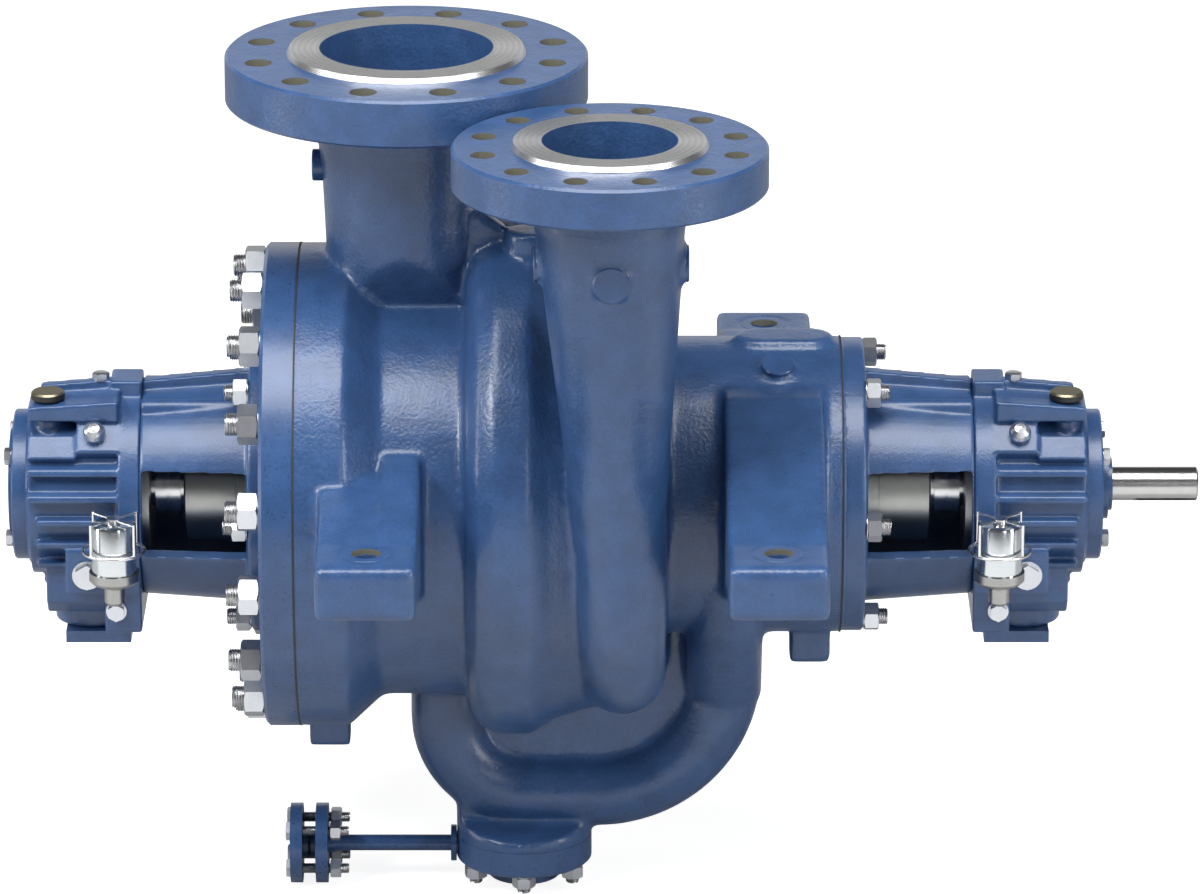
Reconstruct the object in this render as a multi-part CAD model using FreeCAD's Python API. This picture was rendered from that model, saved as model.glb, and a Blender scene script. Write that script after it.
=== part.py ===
"""Two-stage process pump between bearings, cast casing with top nozzles.

Millimetres. X runs along the shaft to the drive end, +Y away from the front
feet, +Z up. The origin is the centre of the foot bolts, on the shaft line.
"""

import FreeCAD, Part
import math
import os

from FreeCAD import Vector

# Suction nozzle and flange
SUCTION_X = -192.0
SUCTION_FACE_Z = 530.0
SUCTION_FLANGE_D = 419.0
SUCTION_FLANGE_T = 55.6
SUCTION_RAISED_D = 269.9
SUCTION_BOLT_INSET = 34.9
SUCTION_HOLE_D = 31.8
SUCTION_BORE = 200.0
SUCTION_NECK_TOP_R = 108.0
SUCTION_NECK_MIDDLE_R = 98.0
SUCTION_NECK_LOW_R = 94.0
SUCTION_NECK_LOW_Z = 275.0
SUCTION_FLAT_Y = 66.0
SUCTION_FLAT_Z = 238.0
SUCTION_FLAT_TOP_Z = 330.0
SUCTION_WEB_START = 20.0
SUCTION_WEB_END = 76.0
SUCTION_WEB_LOW_Z = 294.0
SUCTION_WEB_TOP_Z = 358.0
SUCTION_PORT_R = 60.0
SUCTION_PORT_TAPER = 90.0
SUCTION_PORT_Z = 215.0

# Discharge nozzle and flange
DISCHARGE_X = 42.0
DISCHARGE_Y = -314.0
DISCHARGE_FACE_Z = 509.0
DISCHARGE_FLANGE_D = 355.6
DISCHARGE_FLANGE_T = 47.7
DISCHARGE_RAISED_D = 215.9
DISCHARGE_BOLT_INSET = 31.75
DISCHARGE_HOLE_D = 28.4
DISCHARGE_BORE = 152.0
DISCHARGE_HUB_R = 87.0
DISCHARGE_HUB_H = 34.0
DISCHARGE_NECK_TOP_R = 85.5
DISCHARGE_THROAT_R = 50.0
DISCHARGE_THROAT_X = 54.0
DISCHARGE_THROAT_Y = -274.0
DISCHARGE_WALL = 14.0
DISCHARGE_PORT_Z = 203.0

# Shared by both nozzle flanges
RAISED_FACE_H = 6.4
NOZZLE_HOLES = 12
FLANGE_EDGE = 3.0

# Casing, from the suction end to the drive end
COVER_FACE_X = -318.0
CASING_FLANGE_R = 283.0
CASING_FLANGE_END_X = -262.0
CHAMBER_START_X = -222.0
CHAMBER_R = 246.0
CHAMBER_END_X = -128.0
VALLEY_X = -116.0
VALLEY_R = 236.0
STAGE_ONE_CORE_R = 276.0
STAGE_TWO_CORE_R = 262.0
STAGE_TWO_CORE_X = 22.0
CORE_END_X = 107.0
CORE_CORNER_R = 44.0
CORE_CORNER_IN = 13.0
BARREL_R = 173.5
BARREL_FACE_X = 310.0

# Volutes: rings whose axes stand beside the shaft; their front radii less the offsets
STAGE_ONE_X = -77.0
STAGE_ONE_SIDE_X = -125.0
STAGE_ONE_CREST_X = (-90.0, -50.0)
STAGE_ONE_CREST_R = 311.0
STAGE_ONE_FLANK = ((0.0, 1.8), (0.12, 0.82), (0.42, 0.3))
STAGE_ONE_SEAM_X = -27.0
STAGE_ONE_SEAM_R = 295.0
STAGE_ONE_OFFSET_Y = 14.0
STAGE_ONE_OFFSET_Z = 14.0
STAGE_TWO_X = 57.0
STAGE_TWO_OUTER_R = 258.5
STAGE_TWO_SECTION_R = 50.0
STAGE_TWO_OFFSET_Y = -66.5
STAGE_TWO_OFFSET_Z = 12.0
STAGE_TWO_SEAM_DEG = 135.0

# Crossover tube under the casing, and the flare by which it enters the second stage
CROSSOVER_R = 44.5
CROSSOVER_LEFT_X = -148.0
CROSSOVER_RIGHT_X = 177.0
CROSSOVER_LOW_Z = -381.0
CROSSOVER_LEFT_BEND = 94.0
CROSSOVER_RIGHT_BEND = 150.0
INLET_FLARE = ((-262.0, 45.5), (-205.0, 84.0), (-150.0, 126.0), (-80.0, 161.0), (8.0, 177.0))
WEB_T = 28.0

# Feet, in the plane of the shaft
FOOT_X = 231.0
FOOT_Y = 430.0
FOOT_W = 114.0
FOOT_TIP_Y = 485.0
FOOT_T = 62.0
FOOT_HOLE_D = 33.0
FOOT_SPOT_D = 58.0
FOOT_SPOT_DEPTH = 2.0
FOOT_SEAT_LENGTH = 84.0
FOOT_UNDER_LENGTH = 118.0
FOOT_CORNER_R = 10.0
DRIVE_FOOT_ROOT_Y = 130.0
DRIVE_FOOT_TOP_Z = 148.0
DRIVE_FOOT_LOW_Z = -100.0
COVER_FOOT_ROOT_Y = 230.0
COVER_FOOT_TOP_Z = 92.0
COVER_FOOT_LOW_Z = -66.0
COVER_FOOT_RIB_W = 44.0
COVER_FOOT_RIB_Z = 108.0

# Small bosses and pads on the casing
PLUG_BOSS_R = 21.5
PLUG_BOSS_H = 6.0
PLUG_BOSS_Z = 364.0
BARREL_PAD_X = 245.0
BARREL_PAD_Y = 6.0
BARREL_PAD_L = 115.0
BARREL_PAD_W = 58.0
BARREL_PAD_H = 8.5
BARREL_BOSS_X = 237.0
BARREL_BOSS_R = 20.0
BARREL_BOSS_H = 9.0
BARREL_BOSS_DEG = 22.0
VENT_BOSS_X = -49.0
VENT_BOSS_Y = -75.0
VENT_BOSS_Z = 334.0
VENT_BOSS_R = 28.0
REST_PAD_W = 48.0
COVER_REST_X = -288.0
COVER_REST_H = 37.0
DRIVE_REST_X = 278.0
DRIVE_REST_H = 42.5

# Cover and gaskets
GASKET_T = 2.0
GASKET_INSET = 2.0
COVER_T = 38.0
COVER_EDGE = 4.0

# Bearing brackets, measured outward from the face they bolt to
BRACKET_FLANGE_INSET = 1.5
COVER_BRACKET_FLANGE_T = 18.0
DRIVE_BRACKET_FLANGE_T = 26.5
LANTERN_L = 126.5
LANTERN_ROOT_R = 137.0
LANTERN_TIP_R = 128.0
LANTERN_UPPER_STEP = 10.0
LANTERN_WALL = 24.0
LANTERN_RIB_T = 20.0
LANTERN_RIB_Z = (141.0, 129.0)
LANTERN_BAR_R = 10.0
LANTERN_BAR_DEG = 67.0
WINDOW_H = 100.0
WINDOW_MARGIN = 3.0

# Bearing housings, measured outward from the bracket
HOUSING_BAND_T = 25.0
HOUSING_BAND_R = 118.0
HOUSING_L = 134.0
HOUSING_R = 104.0
HOUSING_END_R = 92.0
HOUSING_END_L = 4.0
TOP_BOSS_L = 37.0
TOP_BOSS_HALF_W = 26.7
TOP_BOSS_Z = 133.4
LOW_PAD_L = 43.0
LOW_PAD_HALF_W = 104.0
LOW_PAD_Z = (-149.0, -60.0)
FIN_COUNT = 6
FIN_TOP_Z = 48.0
FIN_PITCH = 29.5
FIN_T = 8.0
FIN_R = 117.0
FIN_END = (131.0, 131.0, 120.0, 120.0, 120.0, 116.0)
SHELF_Y = (-75.0, -6.0)
SHELF_Z = (124.0, 117.0)
SHELF_T = 24.0
RIDGE_START = 35.0
RIDGE_END = 118.0
RIDGE_Y = (-22.0, -6.0)
RIDGE_Z = (134.5, 127.5)
FILLER_PAD_END = 74.0
FILLER_PAD_DEG = 46.0
FILLER_PAD_HALF_W = 21.0
PLATE_PAD_DEG = 40.0
PLATE_PAD_HALF_W = 15.0
PLATE_PAD_R = 115.0
LEVEL_PAD_END = 87.0
LEVEL_PAD_Y = 116.0
LEVEL_PAD_Z = (-97.0, -44.0)
SUMP_HALF_W = 84.0
SUMP_LOW_Z = -136.0
SUMP_L = 112.0
SUMP_CHAMFER = 18.0
BOWL_S = 60.0
BOWL_R = 47.0
BOWL_LOW_Z = -163.0
SUMP_COVER_S = (16.0, 92.0)
SUMP_COVER_HALF_W = 58.0
SUMP_COVER_T = 14.0
END_COVER_INSET = 4.0
END_COVER_T = 17.0
END_COVER_LIP_R = 66.0
END_COVER_HUB_R = 41.0
END_COVER_HUB_T = 9.0
SEAL_RING_R = 31.0
SEAL_RING_T = 5.0

# Shaft and what turns with it
SHAFT_END_X = 731.0
SHAFT_EXTENSION_R = 19.9
SHAFT_BEARING_R = 26.0
SHAFT_BODY_R = 28.0
SHAFT_SEAL_R = 23.0
SHAFT_CLEARANCE = 1.0
SHAFT_END_GAP = 2.0
SHAFT_EDGE = 2.0
KEYWAY_W = 12.0
KEYWAY_DEPTH = 6.0
KEYWAY_L = 70.0
KEYWAY_DEG = 238.0
SLEEVE_R = 31.0
COLLAR_R = 36.0
COLLAR_GAP = 5.5
COLLAR_GROOVE_R = 33.5
COLLAR_GROOVE_W = 2.0

# Seals in the brackets
GLAND_R = 68.5
GLAND_INSET = 49.0
GLAND_STEP_R = 66.5
GLAND_STEP_S = 22.0
INNER_COVER_R = 81.0
INNER_COVER_T = 9.0
INNER_COVER_BORE_R = 29.0

# Housing fittings, placed from the housing band
BREATHER_R = 19.6
BREATHER_SEAT_R = 14.0
BREATHER_H = 10.5
BREATHER_EDGE = 2.0
BREATHER_S = 107.5
BREATHER_Y = -50.0
BREATHER_BASE_Z = 120.0
DOME_PLUG_R = 13.0
DOME_PLUG_H = 18.0
DOME_SHOULDER_H = 7.0
DOME_STEPS_DEG = (30.0, 60.0)
DOME_TIP_R = 1.5
DOME_PLUG_S = 52.5
DOME_PLUG_UP = 2.2
LEVEL_PLUG_R = 15.0
LEVEL_PLUG_S = 62.0
LEVEL_PLUG_Z = -73.0
DRAIN_PLUG_R = 10.5
DRAIN_PLUG_S = 29.5
DRAIN_PLUG_Z = -121.0
PLUG_HEAD_H = 12.0
PLUG_COLLAR_SHARE = 0.3
PLUG_COLLAR_GROWTH = 1.15
HEX_SIDES = 6
OILER_S = 27.0
OILER_REACH = 52.0
OILER_BOTTLE_R = 26.0
OILER_BOTTLE_LOW_Z = -50.0
OILER_BOTTLE_TOP_Z = 8.0
OILER_BASE_R = 29.0
OILER_BASE_H = 14.0
OILER_EDGE = 4.0
OILER_SHOULDER = 6.0
OILER_BOTTLE_EDGE = 2.5
OILER_STEM_R = 12.0
OILER_STEM_LOW_Z = -91.0
OILER_ARM_R = 8.0
OILER_CAGE_R = 35.0
OILER_CAGE_Z = -25.0
OILER_WIRE_R = 1.8
OILER_SPOKE_R = 1.4
OILER_RING_WIRE_R = 2.2
OILER_CAP_R = 8.0
OILER_CAP_H = 6.0
OILER_CAGE_WIRES = 4

# Bottom drain
DRAIN_X = -59.0
DRAIN_JOINT_Z = -435.0
DRAIN_R = 80.0
DRAIN_NECK_EDGE = 13.0
DRAIN_WAIST_Y = 28.0
DRAIN_WAIST_Z = -412.0
DRAIN_EDGE = 2.5
DRAIN_COVER_T = 31.0
DRAIN_HUB_R = 44.0
DRAIN_HUB_H = 22.0
DRAIN_PAD_R = 21.5
DRAIN_PAD_T = 6.5
DRAIN_PAD_GAP = 0.5
DRAIN_STUB_R = 14.0
DRAIN_PIPE_R = 9.5
DRAIN_PIPE_L = 138.0
SMALL_FLANGE_D = 95.0
SMALL_FLANGE_T = 14.3
SMALL_RAISED_D = 34.9
SMALL_BOLT_INSET = 14.15
SMALL_HOLE_D = 15.9
SMALL_HOLES = 4
SMALL_HOLE_DEG = 45.0
SMALL_HUB_R = 11.5
SMALL_HUB_L = 8.0
SMALL_GASKET_D = 26.0
SMALL_GASKET_T = 3.0

AXIS_X = Vector(1, 0, 0)
AXIS_Y = Vector(0, 1, 0)
AXIS_Z = Vector(0, 0, 1)
ORIGIN = Vector(0, 0, 0)
FULL_TURN = 360.0
QUARTER_TURN = 90.0
SAME = 0.01


def rod(x_start, x_end, radius, y=0.0, z=0.0):
    """Cylinder along X between two places."""
    start = min(x_start, x_end)
    return Part.makeCylinder(radius, abs(x_end - x_start), Vector(start, y, z), AXIS_X)


def post(x, y, z_low, z_high, radius):
    """Upright cylinder between two heights."""
    return Part.makeCylinder(radius, z_high - z_low, Vector(x, y, z_low), AXIS_Z)


def block(x_range, y_range, z_range):
    """Box between three pairs of limits."""
    corner = Vector(min(x_range), min(y_range), min(z_range))
    sides = [abs(pair[1] - pair[0]) for pair in (x_range, y_range, z_range)]
    return Part.makeBox(sides[0], sides[1], sides[2], corner)


def turned(profile):
    """Solid turned about the shaft line from (x, radius) points."""
    points = [Vector(x, 0, radius) for x, radius in profile]
    points = [Vector(profile[0][0], 0, 0)] + points + [Vector(profile[-1][0], 0, 0)]
    face = Part.Face(Part.makePolygon(points + [points[0]]))
    return face.revolve(ORIGIN, AXIS_X, FULL_TURN)


def turned_upright(profile, x, y):
    """Solid turned about an upright line from (radius, z) points."""
    points = [Vector(x + radius, y, z) for radius, z in profile]
    points = [Vector(x, y, profile[0][1])] + points + [Vector(x, y, profile[-1][1])]
    face = Part.Face(Part.makePolygon(points + [points[0]]))
    return face.revolve(Vector(x, y, 0), AXIS_Z, FULL_TURN)


def across_prism(outline, x_start, x_end):
    """Prism along X from a closed (y, z) outline."""
    points = [Vector(x_start, y, z) for y, z in outline]
    return Part.Face(Part.makePolygon(points + [points[0]])).extrude(AXIS_X * (x_end - x_start))


def bolt_places(count, circle_d, start_deg):
    """Points in a plane, as pairs, evenly round a bolt circle."""
    places = []
    for index in range(count):
        turn = math.radians(start_deg + FULL_TURN * index / count)
        places.append((circle_d / 2 * math.cos(turn), circle_d / 2 * math.sin(turn)))
    return places


def nozzle_flange(x, y, face_z, outer_d, thickness, raised_d, bore, bolt_inset, hole_d, hub_r, hub_h):
    """Upright weld-neck flange with a raised face and bolt holes off the centre lines."""
    rim_z = face_z - RAISED_FACE_H
    back_z = rim_z - thickness
    profile = [
        (hub_r, back_z - hub_h),
        (hub_r, back_z),
        (outer_d / 2 - FLANGE_EDGE, back_z),
        (outer_d / 2, back_z + FLANGE_EDGE),
        (outer_d / 2, rim_z - FLANGE_EDGE),
        (outer_d / 2 - FLANGE_EDGE, rim_z),
        (raised_d / 2 + RAISED_FACE_H / 2, rim_z),
        (raised_d / 2, face_z),
    ]
    flange = turned_upright(profile, x, y)
    cuts = [post(x, y, back_z - hub_h, face_z, bore / 2)]
    half_step = FULL_TURN / NOZZLE_HOLES / 2
    circle_d = outer_d - 2.0 * bolt_inset
    for across, along in bolt_places(NOZZLE_HOLES, circle_d, half_step):
        cuts.append(post(x + across, y + along, back_z, rim_z, hole_d / 2))
    return flange.cut(cuts)


def suction_back_z():
    """Height at which the suction flange meets the casing neck."""
    return SUCTION_FACE_Z - RAISED_FACE_H - SUCTION_FLANGE_T


def discharge_back_z():
    """Height at which the discharge flange hub meets the casing neck."""
    return DISCHARGE_FACE_Z - RAISED_FACE_H - DISCHARGE_FLANGE_T - DISCHARGE_HUB_H


def casing_body():
    """The turned mass of the casing, from the cover joint to the drive-end joint."""
    profile = [
        (COVER_FACE_X, CASING_FLANGE_R),
        (CASING_FLANGE_END_X, CASING_FLANGE_R),
        (CHAMBER_START_X, CHAMBER_R),
        (CHAMBER_END_X, CHAMBER_R),
        (VALLEY_X, VALLEY_R),
        (STAGE_ONE_X, STAGE_ONE_CORE_R),
        (STAGE_ONE_SEAM_X, STAGE_ONE_CORE_R),
        (STAGE_TWO_CORE_X, STAGE_TWO_CORE_R),
        (CORE_END_X - CORE_CORNER_R, STAGE_TWO_CORE_R),
        (CORE_END_X - CORE_CORNER_IN, STAGE_TWO_CORE_R - CORE_CORNER_IN),
        (CORE_END_X, STAGE_TWO_CORE_R - CORE_CORNER_R),
        (CORE_END_X, BARREL_R),
        (BARREL_FACE_X, BARREL_R),
    ]
    return turned(profile)


def suction_port():
    """Passage down the suction neck: an even bore that widens to the flange bore at its top."""
    mouth_z = suction_back_z()
    profile = [
        (SUCTION_PORT_R, SUCTION_PORT_Z),
        (SUCTION_PORT_R, mouth_z - SUCTION_PORT_TAPER),
        (SUCTION_BORE / 2, mouth_z),
    ]
    return turned_upright(profile, SUCTION_X, 0.0)


def suction_neck():
    """Neck below the suction flange, narrowing downwards, with a flat to the front and rear."""
    profile = [
        (SUCTION_NECK_LOW_R, CHAMBER_R / 2),
        (SUCTION_NECK_LOW_R, SUCTION_NECK_LOW_Z),
        (SUCTION_NECK_MIDDLE_R, (SUCTION_NECK_LOW_Z + suction_back_z()) / 2),
        (SUCTION_NECK_TOP_R, suction_back_z()),
    ]
    outline = [
        (-SUCTION_FLAT_Y, CHAMBER_R / 2),
        (-SUCTION_FLAT_Y, SUCTION_FLAT_Z),
        (-SUCTION_NECK_TOP_R, SUCTION_FLAT_TOP_Z),
        (-SUCTION_NECK_TOP_R, suction_back_z()),
        (SUCTION_NECK_TOP_R, suction_back_z()),
        (SUCTION_NECK_TOP_R, SUCTION_FLAT_TOP_Z),
        (SUCTION_FLAT_Y, SUCTION_FLAT_Z),
        (SUCTION_FLAT_Y, CHAMBER_R / 2),
    ]
    flats = across_prism(outline, SUCTION_X - SUCTION_NECK_TOP_R, SUCTION_X + SUCTION_NECK_TOP_R)
    return turned_upright(profile, SUCTION_X, 0.0).common(flats)


def suction_web():
    """Web between the front of the suction neck and the first volute."""
    outline = [
        (SUCTION_X, CHAMBER_R - WEB_T),
        (SUCTION_X + SUCTION_WEB_START, SUCTION_WEB_LOW_Z),
        (SUCTION_X + SUCTION_WEB_END, SUCTION_WEB_TOP_Z),
        (STAGE_ONE_X, SUCTION_WEB_TOP_Z - WEB_T),
        (STAGE_ONE_X, CHAMBER_R - WEB_T),
    ]
    points = [Vector(x, -SUCTION_FLAT_Y, z) for x, z in outline]
    return Part.Face(Part.makePolygon(points + [points[0]])).extrude(AXIS_Y * WEB_T)


def discharge_cone(low_r, top_r):
    """Leaning cone from the throat of the second volute to the back of the discharge flange."""
    top = Vector(DISCHARGE_X, DISCHARGE_Y, discharge_back_z())
    low = Vector(DISCHARGE_THROAT_X, DISCHARGE_THROAT_Y, STAGE_TWO_OFFSET_Z)
    slope = (top_r - low_r) / (top - low).Length
    length = (top - low).Length + DISCHARGE_HUB_H / 2
    cone = Part.makeCone(low_r, low_r + slope * length, length, low, (top - low).normalize())
    keep = post(DISCHARGE_X, DISCHARGE_Y, -DISCHARGE_THROAT_R, discharge_back_z(), DISCHARGE_FLANGE_D)
    return cone.common(keep)


def discharge_neck():
    """Long leaning neck below the discharge flange."""
    return discharge_cone(DISCHARGE_THROAT_R, DISCHARGE_NECK_TOP_R)


def discharge_port():
    """Passage down the discharge neck, closed well above the throat."""
    low_r = DISCHARGE_THROAT_R - DISCHARGE_WALL
    reach = post(DISCHARGE_X, DISCHARGE_Y, DISCHARGE_PORT_Z, DISCHARGE_FACE_Z, DISCHARGE_FLANGE_D)
    return discharge_cone(low_r, DISCHARGE_BORE / 2).common(reach)


def stage_one_volute():
    """Ring of the first stage, largest towards the top and the rear, where it leaves."""
    side = STAGE_ONE_SIDE_X
    crest = STAGE_ONE_CREST_R
    rise = STAGE_ONE_CREST_X[0] - side
    profile = [(side + rise * along, crest - rise * down) for along, down in STAGE_ONE_FLANK]
    profile += [
        (STAGE_ONE_CREST_X[0], crest),
        (STAGE_ONE_CREST_X[1], crest),
        (STAGE_ONE_SEAM_X, STAGE_ONE_SEAM_R),
        (STAGE_TWO_CORE_X, STAGE_TWO_CORE_R + STAGE_ONE_OFFSET_Y),
    ]
    ring = turned(profile)
    ring.translate(Vector(0, STAGE_ONE_OFFSET_Y, STAGE_ONE_OFFSET_Z))
    return ring


def stage_two_volute():
    """Ring of the second stage, largest at the front, where the discharge neck rises."""
    centre = Vector(STAGE_TWO_X, STAGE_TWO_OFFSET_Y, STAGE_TWO_OFFSET_Z)
    ring = Part.makeTorus(STAGE_TWO_OUTER_R - STAGE_TWO_SECTION_R, STAGE_TWO_SECTION_R, centre, AXIS_X)
    ring.rotate(centre, AXIS_X, STAGE_TWO_SEAM_DEG)
    return ring


def crossover_tube():
    """Round passage from the first stage, under the casing and up to the second inlet."""
    radius = CROSSOVER_R
    low = CROSSOVER_LOW_Z
    top = -BARREL_R / 2
    left_bend_x = CROSSOVER_LEFT_X + CROSSOVER_LEFT_BEND
    right_bend_x = CROSSOVER_RIGHT_X - CROSSOVER_RIGHT_BEND
    pieces = [
        rod(left_bend_x, right_bend_x, radius, 0.0, low),
        post(CROSSOVER_RIGHT_X, 0.0, low + CROSSOVER_RIGHT_BEND, top, radius),
    ]
    bends = (
        (CROSSOVER_LEFT_X, left_bend_x, low + CROSSOVER_LEFT_BEND, -QUARTER_TURN),
        (CROSSOVER_RIGHT_X, right_bend_x, low + CROSSOVER_RIGHT_BEND, QUARTER_TURN),
    )
    for x, centre_x, z, degrees in bends:
        section = Part.Face(Part.Wire([Part.makeCircle(radius, Vector(x, 0, z), AXIS_Z)]))
        pieces.append(section.revolve(Vector(centre_x, 0, z), AXIS_Y, degrees))
    return post(CROSSOVER_LEFT_X, 0.0, low + CROSSOVER_LEFT_BEND, top, radius).fuse(pieces)


def flare_section(half_y, z):
    """Long round-ended section of the inlet flare at one height."""
    radius = CROSSOVER_R
    x = CROSSOVER_RIGHT_X
    run = half_y - radius
    corners = [
        Vector(x - radius, -run, z),
        Vector(x + radius, -run, z),
        Vector(x + radius, run, z),
        Vector(x - radius, run, z),
    ]
    front = Part.Arc(corners[0], Vector(x, -run - radius, z), corners[1]).toShape()
    rear = Part.Arc(corners[2], Vector(x, run + radius, z), corners[3]).toShape()
    sides = [Part.makeLine(corners[1], corners[2]), Part.makeLine(corners[3], corners[0])]
    return Part.Wire([front, sides[0], rear, sides[1]])


def inlet_flare():
    """Flare of the crossover, which spreads to both sides as it enters the second stage."""
    sections = [flare_section(half_y, z) for z, half_y in INLET_FLARE]
    return Part.makeLoft(sections, True, True)


def crossover_web():
    """Flat web that fills the space between the casing and the crossover tube."""
    inset = 1.0 - math.cos(math.radians(QUARTER_TURN / 2))
    low = CROSSOVER_LOW_Z
    top = -BARREL_R / 2
    left = CROSSOVER_LEFT_X
    right = CROSSOVER_RIGHT_X
    small = CROSSOVER_LEFT_BEND
    large = CROSSOVER_RIGHT_BEND
    outline = [
        (left, top),
        (left, low + small),
        (left + small * inset, low + small * inset),
        (left + small, low),
        (right - large, low),
        (right - large * inset, low + large * inset),
        (right, low + large),
        (right, top),
    ]
    points = [Vector(x, -WEB_T / 2, z) for x, z in outline]
    return Part.Face(Part.makePolygon(points + [points[0]])).extrude(AXIS_Y * WEB_T)


def foot(x_range, root_y, top_z, low_z):
    """Front foot with a flat seat, a sloping top and a haunch below, cut square at the tip."""
    profile = [
        (0.0, low_z),
        (-root_y, low_z),
        (-FOOT_TIP_Y + FOOT_UNDER_LENGTH, 0.0),
        (-FOOT_TIP_Y, 0.0),
        (-FOOT_TIP_Y, FOOT_T),
        (-FOOT_TIP_Y + FOOT_SEAT_LENGTH, FOOT_T),
        (-root_y, top_z),
        (0.0, top_z),
    ]
    start = min(x_range)
    points = [Vector(start, y, z) for y, z in profile]
    face = Part.Face(Part.makePolygon(points + [points[0]]))
    solid = face.extrude(AXIS_X * abs(x_range[1] - x_range[0]))
    corners = []
    for edge in solid.Edges:
        box = edge.BoundBox
        at_tip = abs(box.YMin + FOOT_TIP_Y) < SAME and abs(box.YMax + FOOT_TIP_Y) < SAME
        if at_tip and box.ZMax > SAME:
            corners.append(edge)
    return solid.makeFillet(FOOT_CORNER_R, corners)


def drive_foot():
    """Foot beside the barrel at the drive end."""
    half = FOOT_W / 2
    return foot((FOOT_X - half, FOOT_X + half), DRIVE_FOOT_ROOT_Y, DRIVE_FOOT_TOP_Z, DRIVE_FOOT_LOW_Z)


def cover_foot():
    """Foot beside the suction chamber, with a taller rib on its inner side."""
    half = FOOT_W / 2
    inner = -FOOT_X + half
    root = COVER_FOOT_ROOT_Y
    plain = foot((-FOOT_X - half, inner), root, COVER_FOOT_TOP_Z, COVER_FOOT_LOW_Z)
    ribbed = foot((inner - COVER_FOOT_RIB_W, inner), root, COVER_FOOT_RIB_Z, COVER_FOOT_LOW_Z)
    return plain.fuse(ribbed)


def foot_cuts():
    """Holes and spot faces of the four feet."""
    cuts = []
    for x in (-FOOT_X, FOOT_X):
        for y in (-FOOT_Y, FOOT_Y):
            cuts.append(post(x, y, 0.0, FOOT_T, FOOT_HOLE_D / 2))
            cuts.append(post(x, y, FOOT_T - FOOT_SPOT_DEPTH, FOOT_T, FOOT_SPOT_D / 2))
    return cuts


def plug_bosses():
    """Three round bosses on the discharge neck, to the front and both sides."""
    top_z = discharge_back_z()
    share = (top_z - PLUG_BOSS_Z) / top_z
    radius = DISCHARGE_NECK_TOP_R + (DISCHARGE_THROAT_R - DISCHARGE_NECK_TOP_R) * share
    centre_x = DISCHARGE_X + (DISCHARGE_THROAT_X - DISCHARGE_X) * share
    centre_y = DISCHARGE_Y + (DISCHARGE_THROAT_Y - DISCHARGE_Y) * share
    centre = Vector(centre_x, centre_y, PLUG_BOSS_Z)
    bosses = []
    for direction in (AXIS_Y.negative(), AXIS_X, AXIS_X.negative()):
        bosses.append(Part.makeCylinder(PLUG_BOSS_R, radius + PLUG_BOSS_H, centre, direction))
    return bosses


def barrel_pad():
    """Oblong machined pad on top of the barrel."""
    half = BARREL_PAD_L / 2 - BARREL_PAD_W / 2
    radius = BARREL_PAD_W / 2
    low = BARREL_R / 2
    x = BARREL_PAD_X
    y = BARREL_PAD_Y
    top = BARREL_R + BARREL_PAD_H
    ends = [post(x - half, y, low, top, radius), post(x + half, y, low, top, radius)]
    middle = block((x - half, x + half), (y - radius, y + radius), (low, top))
    return middle.fuse(ends)


def small_bosses():
    """Round boss on the barrel, vent boss on the first volute and the two rest pads."""
    turn = math.radians(BARREL_BOSS_DEG)
    outward = Vector(0, -math.sin(turn), math.cos(turn))
    foot_point = Vector(BARREL_BOSS_X, 0, 0)
    barrel_boss = Part.makeCylinder(BARREL_BOSS_R, BARREL_R + BARREL_BOSS_H, foot_point, outward)
    vent_boss = post(VENT_BOSS_X, VENT_BOSS_Y, STAGE_ONE_CORE_R / 2, VENT_BOSS_Z, VENT_BOSS_R)
    half = REST_PAD_W / 2
    rests = []
    for x, radius, height in (
        (COVER_REST_X, CASING_FLANGE_R, COVER_REST_H),
        (DRIVE_REST_X, BARREL_R, DRIVE_REST_H),
    ):
        rests.append(block((x - half, x + half), (-half, half), (-radius - height, -radius / 2)))
    return [barrel_boss, vent_boss] + rests


def drain_neck():
    """Neck from the crossover down to the drain joint, narrow where it runs up beside the tube."""
    top = CROSSOVER_LOW_Z + CROSSOVER_R / 2
    outline = [
        (-DRAIN_R, DRAIN_JOINT_Z),
        (-DRAIN_R, DRAIN_JOINT_Z + DRAIN_NECK_EDGE),
        (-DRAIN_WAIST_Y, DRAIN_WAIST_Z),
        (-DRAIN_WAIST_Y, top),
        (DRAIN_WAIST_Y, top),
        (DRAIN_WAIST_Y, DRAIN_WAIST_Z),
        (DRAIN_R, DRAIN_JOINT_Z + DRAIN_NECK_EDGE),
        (DRAIN_R, DRAIN_JOINT_Z),
    ]
    wedge = across_prism(outline, DRAIN_X - DRAIN_R, DRAIN_X + DRAIN_R)
    return post(DRAIN_X, 0.0, DRAIN_JOINT_Z, top, DRAIN_R).common(wedge)


def pump_casing():
    """The main casting with both nozzle necks, volutes, crossover, web, feet and bosses."""
    front_feet = [drive_foot(), cover_foot()]
    rear_feet = [shape.mirror(ORIGIN, AXIS_Y) for shape in front_feet]
    pieces = [
        suction_neck(),
        discharge_neck(),
        stage_one_volute(),
        stage_two_volute(),
        crossover_tube(),
        inlet_flare(),
        suction_web(),
        crossover_web(),
        barrel_pad(),
        drain_neck(),
    ]
    pieces += front_feet + rear_feet + plug_bosses() + small_bosses()
    body = casing_body()
    for piece in pieces:
        body = body.fuse(piece)
    shaft_bore = rod(COVER_FACE_X, BARREL_FACE_X, SHAFT_BODY_R + SHAFT_CLEARANCE)
    return body.cut([shaft_bore, suction_port(), discharge_port()] + foot_cuts())


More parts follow.
